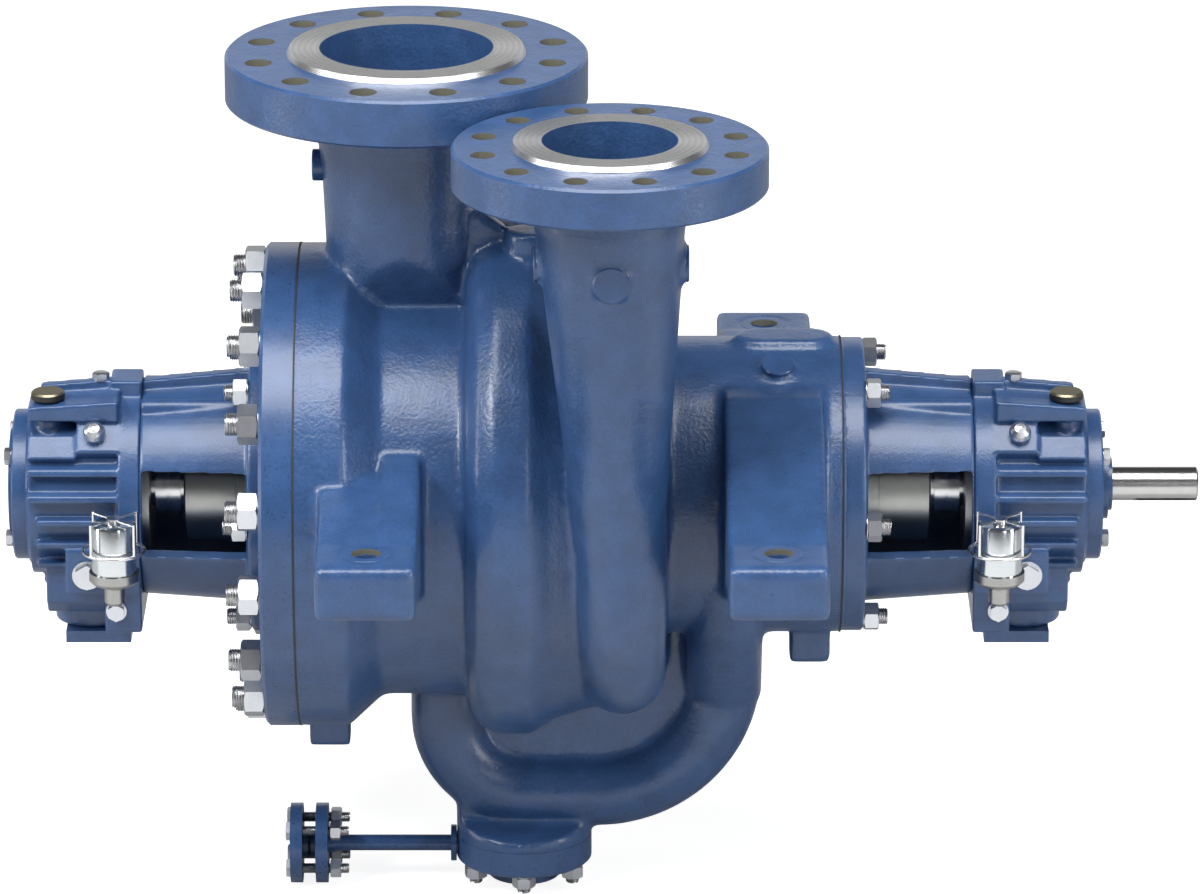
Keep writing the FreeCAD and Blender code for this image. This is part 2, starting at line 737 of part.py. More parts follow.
def casing_cover():
    """Round cover on the suction end of the casing."""
    inner_x = COVER_FACE_X - GASKET_T
    outer_x = inner_x - COVER_T
    profile = [
        (outer_x, CASING_FLANGE_R - COVER_EDGE),
        (outer_x + COVER_EDGE, CASING_FLANGE_R),
        (inner_x, CASING_FLANGE_R),
    ]
    return turned(profile).cut(rod(outer_x, inner_x, SHAFT_BODY_R + SHAFT_CLEARANCE))


def washer(x_start, x_end, outer_r, inner_r):
    """Flat ring about the shaft."""
    return rod(x_start, x_end, outer_r).cut(rod(x_start, x_end, inner_r))


def bracket(face_x, flange_t):
    """Drive-end bearing bracket: round flange and a conical lantern with two windows."""
    root_x = face_x + flange_t
    tip_x = root_x + LANTERN_L
    flange_r = BARREL_R - BRACKET_FLANGE_INSET
    flange = [
        (face_x, flange_r),
        (root_x - COVER_EDGE / 2, flange_r),
        (root_x, flange_r - COVER_EDGE / 2),
    ]
    inner_root_r = LANTERN_ROOT_R - LANTERN_WALL
    inner = [(face_x, inner_root_r), (root_x, inner_root_r), (tip_x, LANTERN_TIP_R - LANTERN_WALL)]
    lower = turned([(root_x, LANTERN_ROOT_R), (tip_x, LANTERN_TIP_R)])
    lower = lower.common(block((root_x, tip_x), (-LANTERN_ROOT_R, LANTERN_ROOT_R), (-LANTERN_ROOT_R, 0.0)))
    step = LANTERN_UPPER_STEP
    upper = turned([(root_x, LANTERN_ROOT_R - step), (tip_x, LANTERN_TIP_R - step)])
    rib_corners = [
        Vector(root_x, -LANTERN_RIB_T / 2, inner_root_r),
        Vector(root_x, -LANTERN_RIB_T / 2, LANTERN_RIB_Z[0]),
        Vector(tip_x, -LANTERN_RIB_T / 2, LANTERN_RIB_Z[1]),
        Vector(tip_x, -LANTERN_RIB_T / 2, inner_root_r),
    ]
    rib = Part.Face(Part.makePolygon(rib_corners + [rib_corners[0]])).extrude(AXIS_Y * LANTERN_RIB_T)
    pieces = [lower, upper, rib]
    turn = math.radians(LANTERN_BAR_DEG)
    bar_at = (LANTERN_ROOT_R + LANTERN_TIP_R) / 2 - step - LANTERN_BAR_R / 2
    for side in (1.0, -1.0):
        bar_y = side * bar_at * math.cos(turn)
        pieces.append(rod(root_x, tip_x, LANTERN_BAR_R, bar_y, bar_at * math.sin(turn)))
    window = block(
        (root_x + WINDOW_MARGIN, tip_x - WINDOW_MARGIN),
        (-flange_r, flange_r),
        (-WINDOW_H / 2, WINDOW_H / 2),
    )
    return turned(flange).fuse(pieces).cut([turned(inner), window])


def wall_pad(x_range, degrees, half_w, outer_r):
    """Pad on the front of the housing wall, turned up from the level by degrees."""
    pad = block(x_range, (-half_w, half_w), (HOUSING_R / 2, outer_r))
    pad.rotate(ORIGIN, AXIS_X, QUARTER_TURN - degrees)
    return pad


def sloping_slab(x_range, y_range, top_z, low_z):
    """Slab across the top whose upper face falls along X from the first height to the second."""
    start, end = x_range
    corners = [(start, low_z), (start, top_z[0]), (end, top_z[1]), (end, low_z)]
    points = [Vector(x, y_range[0], z) for x, z in corners]
    return Part.Face(Part.makePolygon(points + [points[0]])).extrude(AXIS_Y * (y_range[1] - y_range[0]))


def housing_fins(band_x):
    """Level cooling fins on both sides, shorter towards the bottom."""
    fins = []
    for index in range(FIN_COUNT):
        z = FIN_TOP_Z - FIN_PITCH * index
        end_x = band_x + FIN_END[index]
        slab = block((band_x, end_x), (-FIN_R, FIN_R), (z - FIN_T / 2, z + FIN_T / 2))
        fins.append(slab.common(rod(band_x, end_x, FIN_R)))
    return fins


def oil_sump(band_x):
    """Oil sump under the barrel: a box with slanting lower edges and a round bowl below it."""
    half = SUMP_HALF_W
    chamfer = SUMP_CHAMFER
    outline = [
        (-half, 0.0),
        (-half, SUMP_LOW_Z + chamfer),
        (-half + chamfer, SUMP_LOW_Z),
        (half - chamfer, SUMP_LOW_Z),
        (half, SUMP_LOW_Z + chamfer),
        (half, 0.0),
    ]
    box = across_prism(outline, band_x, band_x + SUMP_L)
    bowl = post(band_x + BOWL_S, 0.0, BOWL_LOW_Z, SUMP_LOW_Z + chamfer, BOWL_R)
    return box.fuse(bowl)


def bearing_housing(band_x):
    """Drive-end bearing housing: band, finned barrel and oil sump, outward from band_x."""
    end_x = band_x + HOUSING_L
    band_end_x = band_x + HOUSING_BAND_T
    barrel_profile = [
        (band_x, HOUSING_R),
        (end_x - HOUSING_END_L, HOUSING_R),
        (end_x - HOUSING_END_L, HOUSING_END_R),
        (end_x, HOUSING_END_R),
    ]
    shelf_end_x = end_x - HOUSING_END_L
    filler_end_x = band_x + FILLER_PAD_END
    pieces = [
        rod(band_x, band_end_x, HOUSING_BAND_R),
        block((band_x, band_x + TOP_BOSS_L), (-TOP_BOSS_HALF_W, TOP_BOSS_HALF_W), (0.0, TOP_BOSS_Z)),
        block((band_x, band_x + LOW_PAD_L), (-LOW_PAD_HALF_W, LOW_PAD_HALF_W), LOW_PAD_Z),
        sloping_slab((band_end_x, shelf_end_x), SHELF_Y, SHELF_Z, SHELF_Z[0] - SHELF_T),
        sloping_slab((band_x + RIDGE_START, band_x + RIDGE_END), RIDGE_Y, RIDGE_Z, 0.0),
        wall_pad((band_end_x, filler_end_x), FILLER_PAD_DEG, FILLER_PAD_HALF_W, HOUSING_BAND_R),
        wall_pad((filler_end_x, shelf_end_x), PLATE_PAD_DEG, PLATE_PAD_HALF_W, PLATE_PAD_R),
        block((band_x, band_x + LEVEL_PAD_END), (-LEVEL_PAD_Y, 0.0), LEVEL_PAD_Z),
        post(band_x + BREATHER_S, BREATHER_Y, 0.0, BREATHER_BASE_Z, BREATHER_SEAT_R),
        oil_sump(band_x),
    ]
    body = turned(barrel_profile).fuse(pieces + housing_fins(band_x))
    return body.cut(rod(band_x, end_x, SHAFT_BEARING_R + SHAFT_CLEARANCE))


def end_cover(face_x, bore_r):
    """Round end cover, drilled with a hub at the drive end; bore_r of 0 leaves it blind."""
    rim_x = face_x + END_COVER_T
    rim_r = HOUSING_END_R - END_COVER_INSET
    raised_r = END_COVER_HUB_R if bore_r > 0 else END_COVER_LIP_R
    raised_x = rim_x + (END_COVER_HUB_T if bore_r > 0 else END_COVER_HUB_T / 2)
    profile = [
        (face_x, rim_r),
        (rim_x - COVER_EDGE / 2, rim_r),
        (rim_x, rim_r - COVER_EDGE / 2),
        (rim_x, raised_r),
        (raised_x, raised_r),
    ]
    cover = turned(profile)
    if bore_r > 0:
        return cover.cut(rod(face_x, raised_x, bore_r))
    return cover.cut(rod(face_x, face_x + END_COVER_T / 2, SHAFT_BEARING_R + SHAFT_CLEARANCE))


def hex_plug(centre, direction, radius, length):
    """Hexagon-headed plug with a round collar."""
    collar_h = length * PLUG_COLLAR_SHARE
    collar = Part.makeCylinder(radius * PLUG_COLLAR_GROWTH, collar_h, centre, direction)
    side = direction.cross(AXIS_X).normalize()
    other = direction.cross(side)
    start = centre + direction * collar_h
    corners = []
    for index in range(HEX_SIDES):
        turn = math.radians(FULL_TURN * index / HEX_SIDES)
        corners.append(start + side * (radius * math.cos(turn)) + other * (radius * math.sin(turn)))
    head = Part.Face(Part.makePolygon(corners + [corners[0]])).extrude(direction * (length - collar_h))
    return collar.fuse(head)


def oil_plugs(band_x):
    """Filler dome, level plug and lower plug of one housing, seated on their pads."""
    dome_top = HOUSING_BAND_R + DOME_PLUG_H
    shoulder = HOUSING_BAND_R + DOME_SHOULDER_H
    profile = [(DOME_PLUG_R, HOUSING_BAND_R), (DOME_PLUG_R, shoulder)]
    for degrees in DOME_STEPS_DEG:
        lift = math.radians(degrees)
        height = shoulder + (dome_top - shoulder) * math.sin(lift)
        profile.append((DOME_PLUG_R * math.cos(lift), height))
    profile.append((DOME_TIP_R, dome_top))
    dome = turned_upright(profile, 0.0, DOME_PLUG_UP)
    dome.rotate(ORIGIN, AXIS_X, QUARTER_TURN - FILLER_PAD_DEG)
    dome.translate(Vector(band_x + DOME_PLUG_S, 0, 0))
    front = AXIS_Y.negative()
    level_foot = Vector(band_x + LEVEL_PLUG_S, -LEVEL_PAD_Y, LEVEL_PLUG_Z)
    level = hex_plug(level_foot, front, LEVEL_PLUG_R, PLUG_HEAD_H)
    low_foot = Vector(band_x + DRAIN_PLUG_S, -LOW_PAD_HALF_W, DRAIN_PLUG_Z)
    low = hex_plug(low_foot, front, DRAIN_PLUG_R, PLUG_HEAD_H)
    return Part.makeCompound([dome, level, low])


def oiler_parts(band_x):
    """Constant-level oiler: metal base with its arm, glass bottle and wire cage."""
    x = band_x + OILER_S
    y = -LEVEL_PAD_Y - OILER_REACH
    low = OILER_BOTTLE_LOW_Z
    top = OILER_BOTTLE_TOP_Z
    base_profile = [
        (OILER_STEM_R - OILER_EDGE, OILER_STEM_LOW_Z),
        (OILER_STEM_R, OILER_STEM_LOW_Z + OILER_EDGE),
        (OILER_STEM_R, low - OILER_BASE_H - OILER_SHOULDER),
        (OILER_BASE_R - OILER_EDGE, low - OILER_BASE_H),
        (OILER_BASE_R, low - OILER_BASE_H + OILER_EDGE),
        (OILER_BASE_R, low),
    ]
    arm_z = (OILER_STEM_LOW_Z + low - OILER_BASE_H) / 2
    arm = Part.makeCylinder(OILER_ARM_R, OILER_REACH, Vector(x, y, arm_z), AXIS_Y)
    base = turned_upright(base_profile, x, y).fuse(arm)
    bottle_profile = [
        (OILER_BOTTLE_R, low),
        (OILER_BOTTLE_R, top - OILER_BOTTLE_EDGE),
        (OILER_BOTTLE_R - OILER_BOTTLE_EDGE, top),
    ]
    bottle = turned_upright(bottle_profile, x, y)
    cage = Part.makeTorus(OILER_CAGE_R, OILER_RING_WIRE_R, Vector(x, y, OILER_CAGE_Z), AXIS_Z)
    cap_z = top + OILER_CAP_H - OILER_WIRE_R
    cage = cage.fuse(post(x, y, top, top + OILER_CAP_H, OILER_CAP_R))
    for index in range(OILER_CAGE_WIRES):
        turn = 2.0 * math.pi * (index + 0.5) / OILER_CAGE_WIRES
        outward = Vector(math.cos(turn), math.sin(turn), 0)
        shoulder = Vector(x, y, 0) + outward * OILER_CAGE_R
        spoke = Part.makeCylinder(OILER_SPOKE_R, OILER_CAGE_R, Vector(x, y, cap_z), outward)
        upright = post(shoulder.x, shoulder.y, OILER_CAGE_Z, cap_z + OILER_WIRE_R, OILER_WIRE_R)
        cage = cage.fuse(spoke).fuse(upright)
    return base, bottle, cage


def gland(face_x, end_x):
    """Seal gland in the window: a long round body with two shallow steps near the flange."""
    step_x = end_x - GLAND_INSET
    profile = [
        (face_x, GLAND_R),
        (step_x - GLAND_STEP_S, GLAND_R),
        (step_x - GLAND_STEP_S, GLAND_STEP_R),
        (step_x - GLAND_STEP_S / 2, GLAND_STEP_R),
        (step_x - GLAND_STEP_S / 2, GLAND_R),
        (end_x - COVER_EDGE / 2, GLAND_R),
        (end_x, GLAND_R - COVER_EDGE / 2),
    ]
    return turned(profile).cut(rod(face_x, end_x, SLEEVE_R + SHAFT_CLEARANCE))


def shaft_collar(x_start, x_end):
    """Locking collar on the shaft with a groove round its middle."""
    middle = (x_start + x_end) / 2
    half = COLLAR_GROOVE_W / 2
    profile = [
        (x_start, COLLAR_R),
        (middle - half, COLLAR_R),
        (middle - half, COLLAR_GROOVE_R),
        (middle + half, COLLAR_GROOVE_R),
        (middle + half, COLLAR_R),
        (x_end, COLLAR_R),
    ]
    return turned(profile).cut(rod(x_start, x_end, SHAFT_BODY_R))


def bearing_end(name, face_x, flange_t, drilled, place):
    """All pieces of one bearing end, built outward along +X and then placed."""
    root_x = face_x + flange_t
    band_x = root_x + LANTERN_L
    end_x = band_x + HOUSING_L
    base, bottle, cage = oiler_parts(band_x)
    cap_x = band_x + BREATHER_S
    breather_profile = [
        (BREATHER_R - BREATHER_EDGE, BREATHER_BASE_Z),
        (BREATHER_R, BREATHER_BASE_Z + BREATHER_EDGE),
        (BREATHER_R, BREATHER_BASE_Z + BREATHER_H - BREATHER_EDGE),
        (BREATHER_R - BREATHER_EDGE, BREATHER_BASE_Z + BREATHER_H),
    ]
    sump_cover = block(
        (band_x + SUMP_COVER_S[0], band_x + SUMP_COVER_S[1]),
        (-SUMP_COVER_HALF_W, SUMP_COVER_HALF_W),
        (BOWL_LOW_Z - SUMP_COVER_T, BOWL_LOW_Z),
    )
    inner_x = band_x - INNER_COVER_T
    gland_end_x = band_x - GLAND_INSET
    collar_x = gland_end_x + COLLAR_GAP
    collar_end_x = inner_x - COLLAR_GAP
    pieces = {
        "bearing_bracket": bracket(face_x, flange_t),
        "bearing_housing": bearing_housing(band_x),
        "end_cover": end_cover(end_x, SHAFT_SEAL_R + SHAFT_CLEARANCE if drilled else 0.0),
        "inner_bearing_cover": washer(inner_x, band_x, INNER_COVER_R, INNER_COVER_BORE_R),
        "seal_gland": gland(face_x, gland_end_x),
        "seal_sleeve": washer(face_x + SHAFT_CLEARANCE, collar_x, SLEEVE_R, SHAFT_BODY_R),
        "shaft_collar": shaft_collar(collar_x, collar_end_x),
        "breather_cap": turned_upright(breather_profile, cap_x, BREATHER_Y),
        "oil_plugs": oil_plugs(band_x),
        "sump_cover": sump_cover,
        "oiler_base": base,
        "oiler_bottle": bottle,
        "oiler_cage": cage,
    }
    return {f"{piece}_{name}": place(shape) for piece, shape in pieces.items()}


def shaft(left_end_x, right_cover_x, seal_ring_x):
    """Stepped shaft from the blind cover to the extension, which has a round-ended keyway."""
    cover_step_x = COVER_FACE_X - GASKET_T - COVER_T - COVER_BRACKET_FLANGE_T - LANTERN_L + INNER_COVER_T
    drive_step_x = BARREL_FACE_X + GASKET_T + DRIVE_BRACKET_FLANGE_T + LANTERN_L - INNER_COVER_T
    profile = [
        (left_end_x, SHAFT_BEARING_R),
        (cover_step_x + COLLAR_GAP, SHAFT_BEARING_R),
        (cover_step_x + COLLAR_GAP, SHAFT_BODY_R),
        (drive_step_x - COLLAR_GAP, SHAFT_BODY_R),
        (drive_step_x - COLLAR_GAP, SHAFT_BEARING_R),
        (right_cover_x - SHAFT_END_GAP, SHAFT_BEARING_R),
        (right_cover_x - SHAFT_END_GAP, SHAFT_SEAL_R),
        (seal_ring_x, SHAFT_SEAL_R),
        (seal_ring_x, SHAFT_EXTENSION_R),
        (SHAFT_END_X - SHAFT_EDGE, SHAFT_EXTENSION_R),
        (SHAFT_END_X, SHAFT_EXTENSION_R - SHAFT_EDGE),
    ]
    turn = math.radians(KEYWAY_DEG)
    outward = Vector(0, math.cos(turn), math.sin(turn))
    sideways = AXIS_X.cross(outward)
    start = Vector(SHAFT_END_X - KEYWAY_L, 0, 0) + outward * (SHAFT_EXTENSION_R - KEYWAY_DEPTH)
    slot_half = sideways * (KEYWAY_W / 2)
    corners = [start - slot_half, start + slot_half, start + slot_half + AXIS_X * KEYWAY_L]
    corners.append(start - slot_half + AXIS_X * KEYWAY_L)
    slot = Part.Face(Part.makePolygon(corners + [corners[0]])).extrude(outward * (KEYWAY_DEPTH * 2))
    slot_end = Part.makeCylinder(KEYWAY_W / 2, KEYWAY_DEPTH * 2, start, outward)
    return turned(profile).cut([slot, slot_end])


def drain_axis_z():
    """Height of the drain pipe, in the middle of the drain cover."""
    return DRAIN_JOINT_Z - DRAIN_COVER_T / 2


def drain_cover():
    """Blind cover under the crossover with a hub and a side pad for the pipe."""
    low = DRAIN_JOINT_Z - DRAIN_COVER_T
    profile = [
        (DRAIN_HUB_R - DRAIN_EDGE, low - DRAIN_HUB_H),
        (DRAIN_HUB_R, low - DRAIN_HUB_H + DRAIN_EDGE),
        (DRAIN_HUB_R, low),
        (DRAIN_R - DRAIN_EDGE, low),
        (DRAIN_R, low + DRAIN_EDGE),
        (DRAIN_R, DRAIN_JOINT_Z),
    ]
    pad_x = DRAIN_X - DRAIN_R - DRAIN_PAD_GAP
    stub = rod(DRAIN_X - DRAIN_R / 2, pad_x, DRAIN_STUB_R, 0.0, drain_axis_z())
    pad = rod(pad_x, pad_x - DRAIN_PAD_T, DRAIN_PAD_R, 0.0, drain_axis_z())
    return turned_upright(profile, DRAIN_X, 0.0).fuse([stub, pad])


def small_flange(face_x, side, hub_l):
    """Small flange on the drain line; side is the direction of its back along X."""
    z = drain_axis_z()
    rim_x = face_x + side * RAISED_FACE_H
    back_x = rim_x + side * SMALL_FLANGE_T
    flange = rod(rim_x, back_x, SMALL_FLANGE_D / 2, 0.0, z)
    pieces = [rod(face_x, rim_x, SMALL_RAISED_D / 2, 0.0, z)]
    if hub_l > 0:
        pieces.append(rod(back_x, back_x + side * hub_l, SMALL_HUB_R, 0.0, z))
    flange = flange.fuse(pieces)
    cuts = []
    circle_d = SMALL_FLANGE_D - 2.0 * SMALL_BOLT_INSET
    for across, along in bolt_places(SMALL_HOLES, circle_d, SMALL_HOLE_DEG):
        cuts.append(rod(rim_x, back_x, SMALL_HOLE_D / 2, across, z + along))
    return flange.cut(cuts)


def drain_line():
    """Drain cover, pipe, its flange, gasket and blind flange."""
    pad_face_x = DRAIN_X - DRAIN_R - DRAIN_PAD_GAP - DRAIN_PAD_T
    pipe_end_x = pad_face_x - DRAIN_PIPE_L
    flange_face_x = pipe_end_x - SMALL_HUB_L - SMALL_FLANGE_T - RAISED_FACE_H
    blind_face_x = flange_face_x - SMALL_GASKET_T
    z = drain_axis_z()
    return {
        "drain_cover": drain_cover(),
        "drain_pipe": rod(pad_face_x, pipe_end_x, DRAIN_PIPE_R, 0.0, z),
        "drain_pipe_flange": small_flange(flange_face_x, 1.0, SMALL_HUB_L),
        "drain_gasket": rod(flange_face_x, blind_face_x, SMALL_GASKET_D / 2, 0.0, z),
        "drain_blind_flange": small_flange(blind_face_x, -1.0, 0.0),
    }


def build():
    """Every piece by its name."""
    cover_outer_x = COVER_FACE_X - GASKET_T - COVER_T
    drive_face_x = BARREL_FACE_X + GASKET_T
    clear = SHAFT_BODY_R + SHAFT_CLEARANCE
    bearing_reach = LANTERN_L + HOUSING_L
    drive_cover_x = drive_face_x + DRIVE_BRACKET_FLANGE_T + bearing_reach
    seal_ring_x = drive_cover_x + END_COVER_T + END_COVER_HUB_T
    pieces = {
        "pump_casing": pump_casing(),
        "suction_flange": nozzle_flange(
            SUCTION_X,
            0.0,
            SUCTION_FACE_Z,
            SUCTION_FLANGE_D,
            SUCTION_FLANGE_T,
            SUCTION_RAISED_D,
            SUCTION_BORE,
            SUCTION_BOLT_INSET,
            SUCTION_HOLE_D,
            SUCTION_NECK_TOP_R,
            0.0,
        ),
        "discharge_flange": nozzle_flange(
            DISCHARGE_X,
            DISCHARGE_Y,
            DISCHARGE_FACE_Z,
            DISCHARGE_FLANGE_D,
            DISCHARGE_FLANGE_T,
            DISCHARGE_RAISED_D,
            DISCHARGE_BORE,
            DISCHARGE_BOLT_INSET,
            DISCHARGE_HOLE_D,
            DISCHARGE_HUB_R,
            DISCHARGE_HUB_H,
        ),
        "casing_cover": casing_cover(),
        "cover_gasket": washer(COVER_FACE_X - GASKET_T, COVER_FACE_X, CASING_FLANGE_R - GASKET_INSET, clear),
        "bracket_gasket": washer(BARREL_FACE_X, drive_face_x, BARREL_R - GASKET_INSET, clear),
        "shaft_seal_ring_drive": washer(
            seal_ring_x,
            seal_ring_x + SEAL_RING_T,
            SEAL_RING_R,
            SHAFT_SEAL_R + SHAFT_CLEARANCE,
        ),
    }
    pieces.update(bearing_end("drive", drive_face_x, DRIVE_BRACKET_FLANGE_T, True, lambda shape: shape))
    pieces.update(
        bearing_end(
            "nondrive",
            -cover_outer_x,
            COVER_BRACKET_FLANGE_T,
            False,
            lambda shape: shape.mirror(ORIGIN, AXIS_X),
        )
    )
    left_end_x = cover_outer_x - COVER_BRACKET_FLANGE_T - bearing_reach - END_COVER_T / 2 + SHAFT_END_GAP
    pieces["shaft"] = shaft(left_end_x, drive_cover_x, seal_ring_x + SEAL_RING_T)
    pieces.update(drain_line())
    return pieces


def main():
    """Write one file for each piece."""
    os.makedirs("parts", exist_ok=True)
    for name, shape in build().items():
        shape.exportStep(f"parts/{name}.step")
        print(name, len(shape.Solids), round(shape.Volume / 1000.0), "cm3", shape.isValid())


if __name__ == "__main__":
    main()
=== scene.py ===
"""Dresses the two-stage process pump: its castings, machined faces, fasteners and studio.

Metres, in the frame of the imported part. X runs along the shaft to the drive end, +Y to
the rear and +Z up. The origin is the centre of the foot bolts, on the shaft line.
"""

import logging
import math
from collections.abc import Iterable, Mapping, Sequence
from dataclasses import dataclass, field
from enum import Enum

import bpy
from mathutils import Matrix, Vector


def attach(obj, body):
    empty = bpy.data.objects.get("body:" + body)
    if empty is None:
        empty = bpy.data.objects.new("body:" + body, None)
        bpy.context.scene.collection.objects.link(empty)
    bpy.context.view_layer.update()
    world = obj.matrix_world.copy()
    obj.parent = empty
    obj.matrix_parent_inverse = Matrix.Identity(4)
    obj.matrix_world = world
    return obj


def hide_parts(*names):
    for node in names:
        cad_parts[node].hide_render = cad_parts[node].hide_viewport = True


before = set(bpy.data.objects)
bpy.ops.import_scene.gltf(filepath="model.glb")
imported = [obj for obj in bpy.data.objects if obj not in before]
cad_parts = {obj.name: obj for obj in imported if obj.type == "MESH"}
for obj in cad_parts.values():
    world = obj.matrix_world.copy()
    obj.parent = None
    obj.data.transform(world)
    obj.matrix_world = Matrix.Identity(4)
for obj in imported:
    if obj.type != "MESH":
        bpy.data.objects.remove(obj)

LOG = logging.getLogger("pump")
Point = tuple[float, float, float]
Colour = tuple[float, float, float]
Pair = tuple[float, float]

PUMP_BODY = "pump"
MM = 0.001
CAST_SHARP_DEG = 60.0
ALONG_X = Vector((1.0, 0.0, 0.0))
ALONG_Y = Vector((0.0, 1.0, 0.0))
UP = Vector((0.0, 0.0, 1.0))


class End(Enum):
    """The two bearing ends, with the sign of X that each one faces."""

    DRIVE = 1.0
    NONDRIVE = -1.0

    @property
    def label(self) -> str:
        """Suffix of the end's node and piece names."""
        return self.name.lower()


# Shader graph.


class Link:
    """A socket or a number in a shader graph, with arithmetic that adds its nodes."""

    def __init__(self, graph: "Graph", value: object) -> None:
        self.graph = graph
        self.value = value

    def maths(self, operation: str, *others: object) -> "Link":
        """Adds one Math node.

        Args:
            operation: the node's operation.
            others: further operands, links or numbers.

        Returns:
            The node's result.
        """
        inputs = dict(enumerate([self, *others]))
        return self.graph.node("ShaderNodeMath", {"operation": operation}, inputs)

    def __add__(self, other: object) -> "Link":
        """Sum."""
        return self.maths("ADD", other)

    __radd__ = __add__

    def __mul__(self, other: object) -> "Link":
        """Product."""
        return self.maths("MULTIPLY", other)

    __rmul__ = __mul__

    def __sub__(self, other: object) -> "Link":
        """Difference."""
        return self.maths("SUBTRACT", other)

    def __rsub__(self, other: object) -> "Link":
        """Difference from a number."""
        return Link(self.graph, other).maths("SUBTRACT", self)

    def __truediv__(self, other: object) -> "Link":
        """Quotient."""
        return self.maths("DIVIDE", other)

    def __pow__(self, other: object) -> "Link":
        """Power."""
        return self.maths("POWER", other)

    def __gt__(self, other: object) -> "Link":
        """1 where this is greater, else 0."""
        return self.maths("GREATER_THAN", other)

    def __lt__(self, other: object) -> "Link":
        """1 where this is less, else 0."""
        return self.maths("LESS_THAN", other)

    def sine(self) -> "Link":
        """Sine of this value."""
        return self.maths("SINE")

    def ramp(self, low: float, high: float) -> "Link":
        """Rises from 0 at low to 1 at high."""
        inputs = {"Value": self, "From Min": low, "From Max": high}
        return self.graph.node("ShaderNodeMapRange", {"interpolation_type": "SMOOTHSTEP"}, inputs)


class Graph:
    """The node tree of one material."""

    def __init__(self, name: str) -> None:
        self.material = bpy.data.materials.new(name)
        self.material.use_nodes = True
        self.tree = self.material.node_tree
        self.tree.nodes.clear()

    def node(
        self,
        kind: str,
        settings: Mapping[str, object] | None = None,
        inputs: Mapping[object, object] | None = None,
        output: object = 0,
    ) -> Link:
        """Adds a node of any type.

        Args:
            kind: the node's Blender type.
            settings: properties that are set before the sockets.
            inputs: values or links by socket name or number.
            output: name or number of the socket that is returned.

        Returns:
            The chosen output.
        """
        made = self.tree.nodes.new(kind)
        for key, value in (settings or {}).items():
            setattr(made, key, value)
        for key, value in (inputs or {}).items():
            if isinstance(value, Link) and isinstance(value.value, bpy.types.NodeSocket):
                self.tree.links.new(value.value, made.inputs[key])
            else:
                made.inputs[key].default_value = value.value if isinstance(value, Link) else value
        return Link(self, made.outputs[output])

    def place(self) -> Link:
        """Coordinates of the piece, which lie in the frame of the part."""
        return self.node("ShaderNodeTexCoord", output="Object")

    def axis(self, index: int) -> Link:
        """One coordinate, 0 for X, 1 for Y and 2 for Z."""
        return self.node("ShaderNodeSeparateXYZ", None, {0: self.place()}, index)

    def noise(self, scale: float, detail: float = 2.0, stretch: Point | None = None) -> Link:
        """Fractal noise over the piece.

        Args:
            scale: cells per metre.
            detail: octaves.
            stretch: factors of the three coordinates.

        Returns:
            Noise from 0 to 1.
        """
        where = self.place()
        if stretch:
            where = self.node(
                "ShaderNodeVectorMath", {"operation": "MULTIPLY"}, {0: where, 1: stretch}
            )
        return self.node("ShaderNodeTexNoise", None, {"Vector": where, "Scale": scale, "Detail": detail})

    def blend(self, factor: Link, first: Colour, second: Colour) -> Link:
        """Colour between two, by a factor from 0 to 1."""
        inputs = {0: factor, 6: (*first, 1.0), 7: (*second, 1.0)}
        return self.node("ShaderNodeMix", {"data_type": "RGBA"}, inputs, 2)

    def bump(self, height: Link, metres: float, strength: float = 1.0, normal: Link | None = None) -> Link:
        """Bumped normal for a height from 0 to 1 that stands metres tall."""
        inputs: dict[object, object] = {"Height": height, "Distance": metres, "Strength": strength}
        if normal:
            inputs["Normal"] = normal
        return self.node("ShaderNodeBump", None, inputs)

    def surface(self, inputs: Mapping[object, object]) -> Link:
        """Principled surface with these sockets."""
        return self.node("ShaderNodeBsdfPrincipled", None, inputs)

    def finish(self, shader: Link) -> bpy.types.Material:
        """Ends the graph in its output.

        Args:
            shader: the surface.

        Returns:
            The material.
        """
        end = self.tree.nodes.new("ShaderNodeOutputMaterial")
        self.tree.links.new(shader.value, end.inputs["Surface"])
        return self.material


# Finishes.


@dataclass(frozen=True)
class Paint:
    """Semi-gloss machinery paint over a casting or a machined part."""

    name: str
    colour: Colour = (0.029, 0.074, 0.188)
    roughness: float = 0.31
    grain: float = 0.0007
    grain_scale: float = 250.0
    swell: float = 0.0012
    coat: float = 0.22

    def shader(self, graph: Graph) -> Link:
        """Adds the painted surface to a graph."""
        fine = graph.noise(self.grain_scale, 3.0)
        broad = graph.noise(34.0, 2.0)
        deep = tuple(0.86 * part for part in self.colour)
        light = tuple(min(1.0, 1.16 * part + 0.002) for part in self.colour)
        normal = graph.bump(broad, self.swell)
        normal = graph.bump(fine, self.grain, normal=normal)
        return graph.surface(
            {
                "Base Color": graph.blend((fine * 0.45 + broad * 0.55).ramp(0.3, 0.7), deep, light),
                "Roughness": self.roughness + (fine - 0.5) * 0.16,
                "Coat Weight": self.coat,
                "Coat Roughness": 0.22,
                "Specular IOR Level": 0.5,
                "Normal": normal,
            }
        )

    def material(self) -> bpy.types.Material:
        """The finished material."""
        graph = Graph(self.name)
        return graph.finish(self.shader(graph))


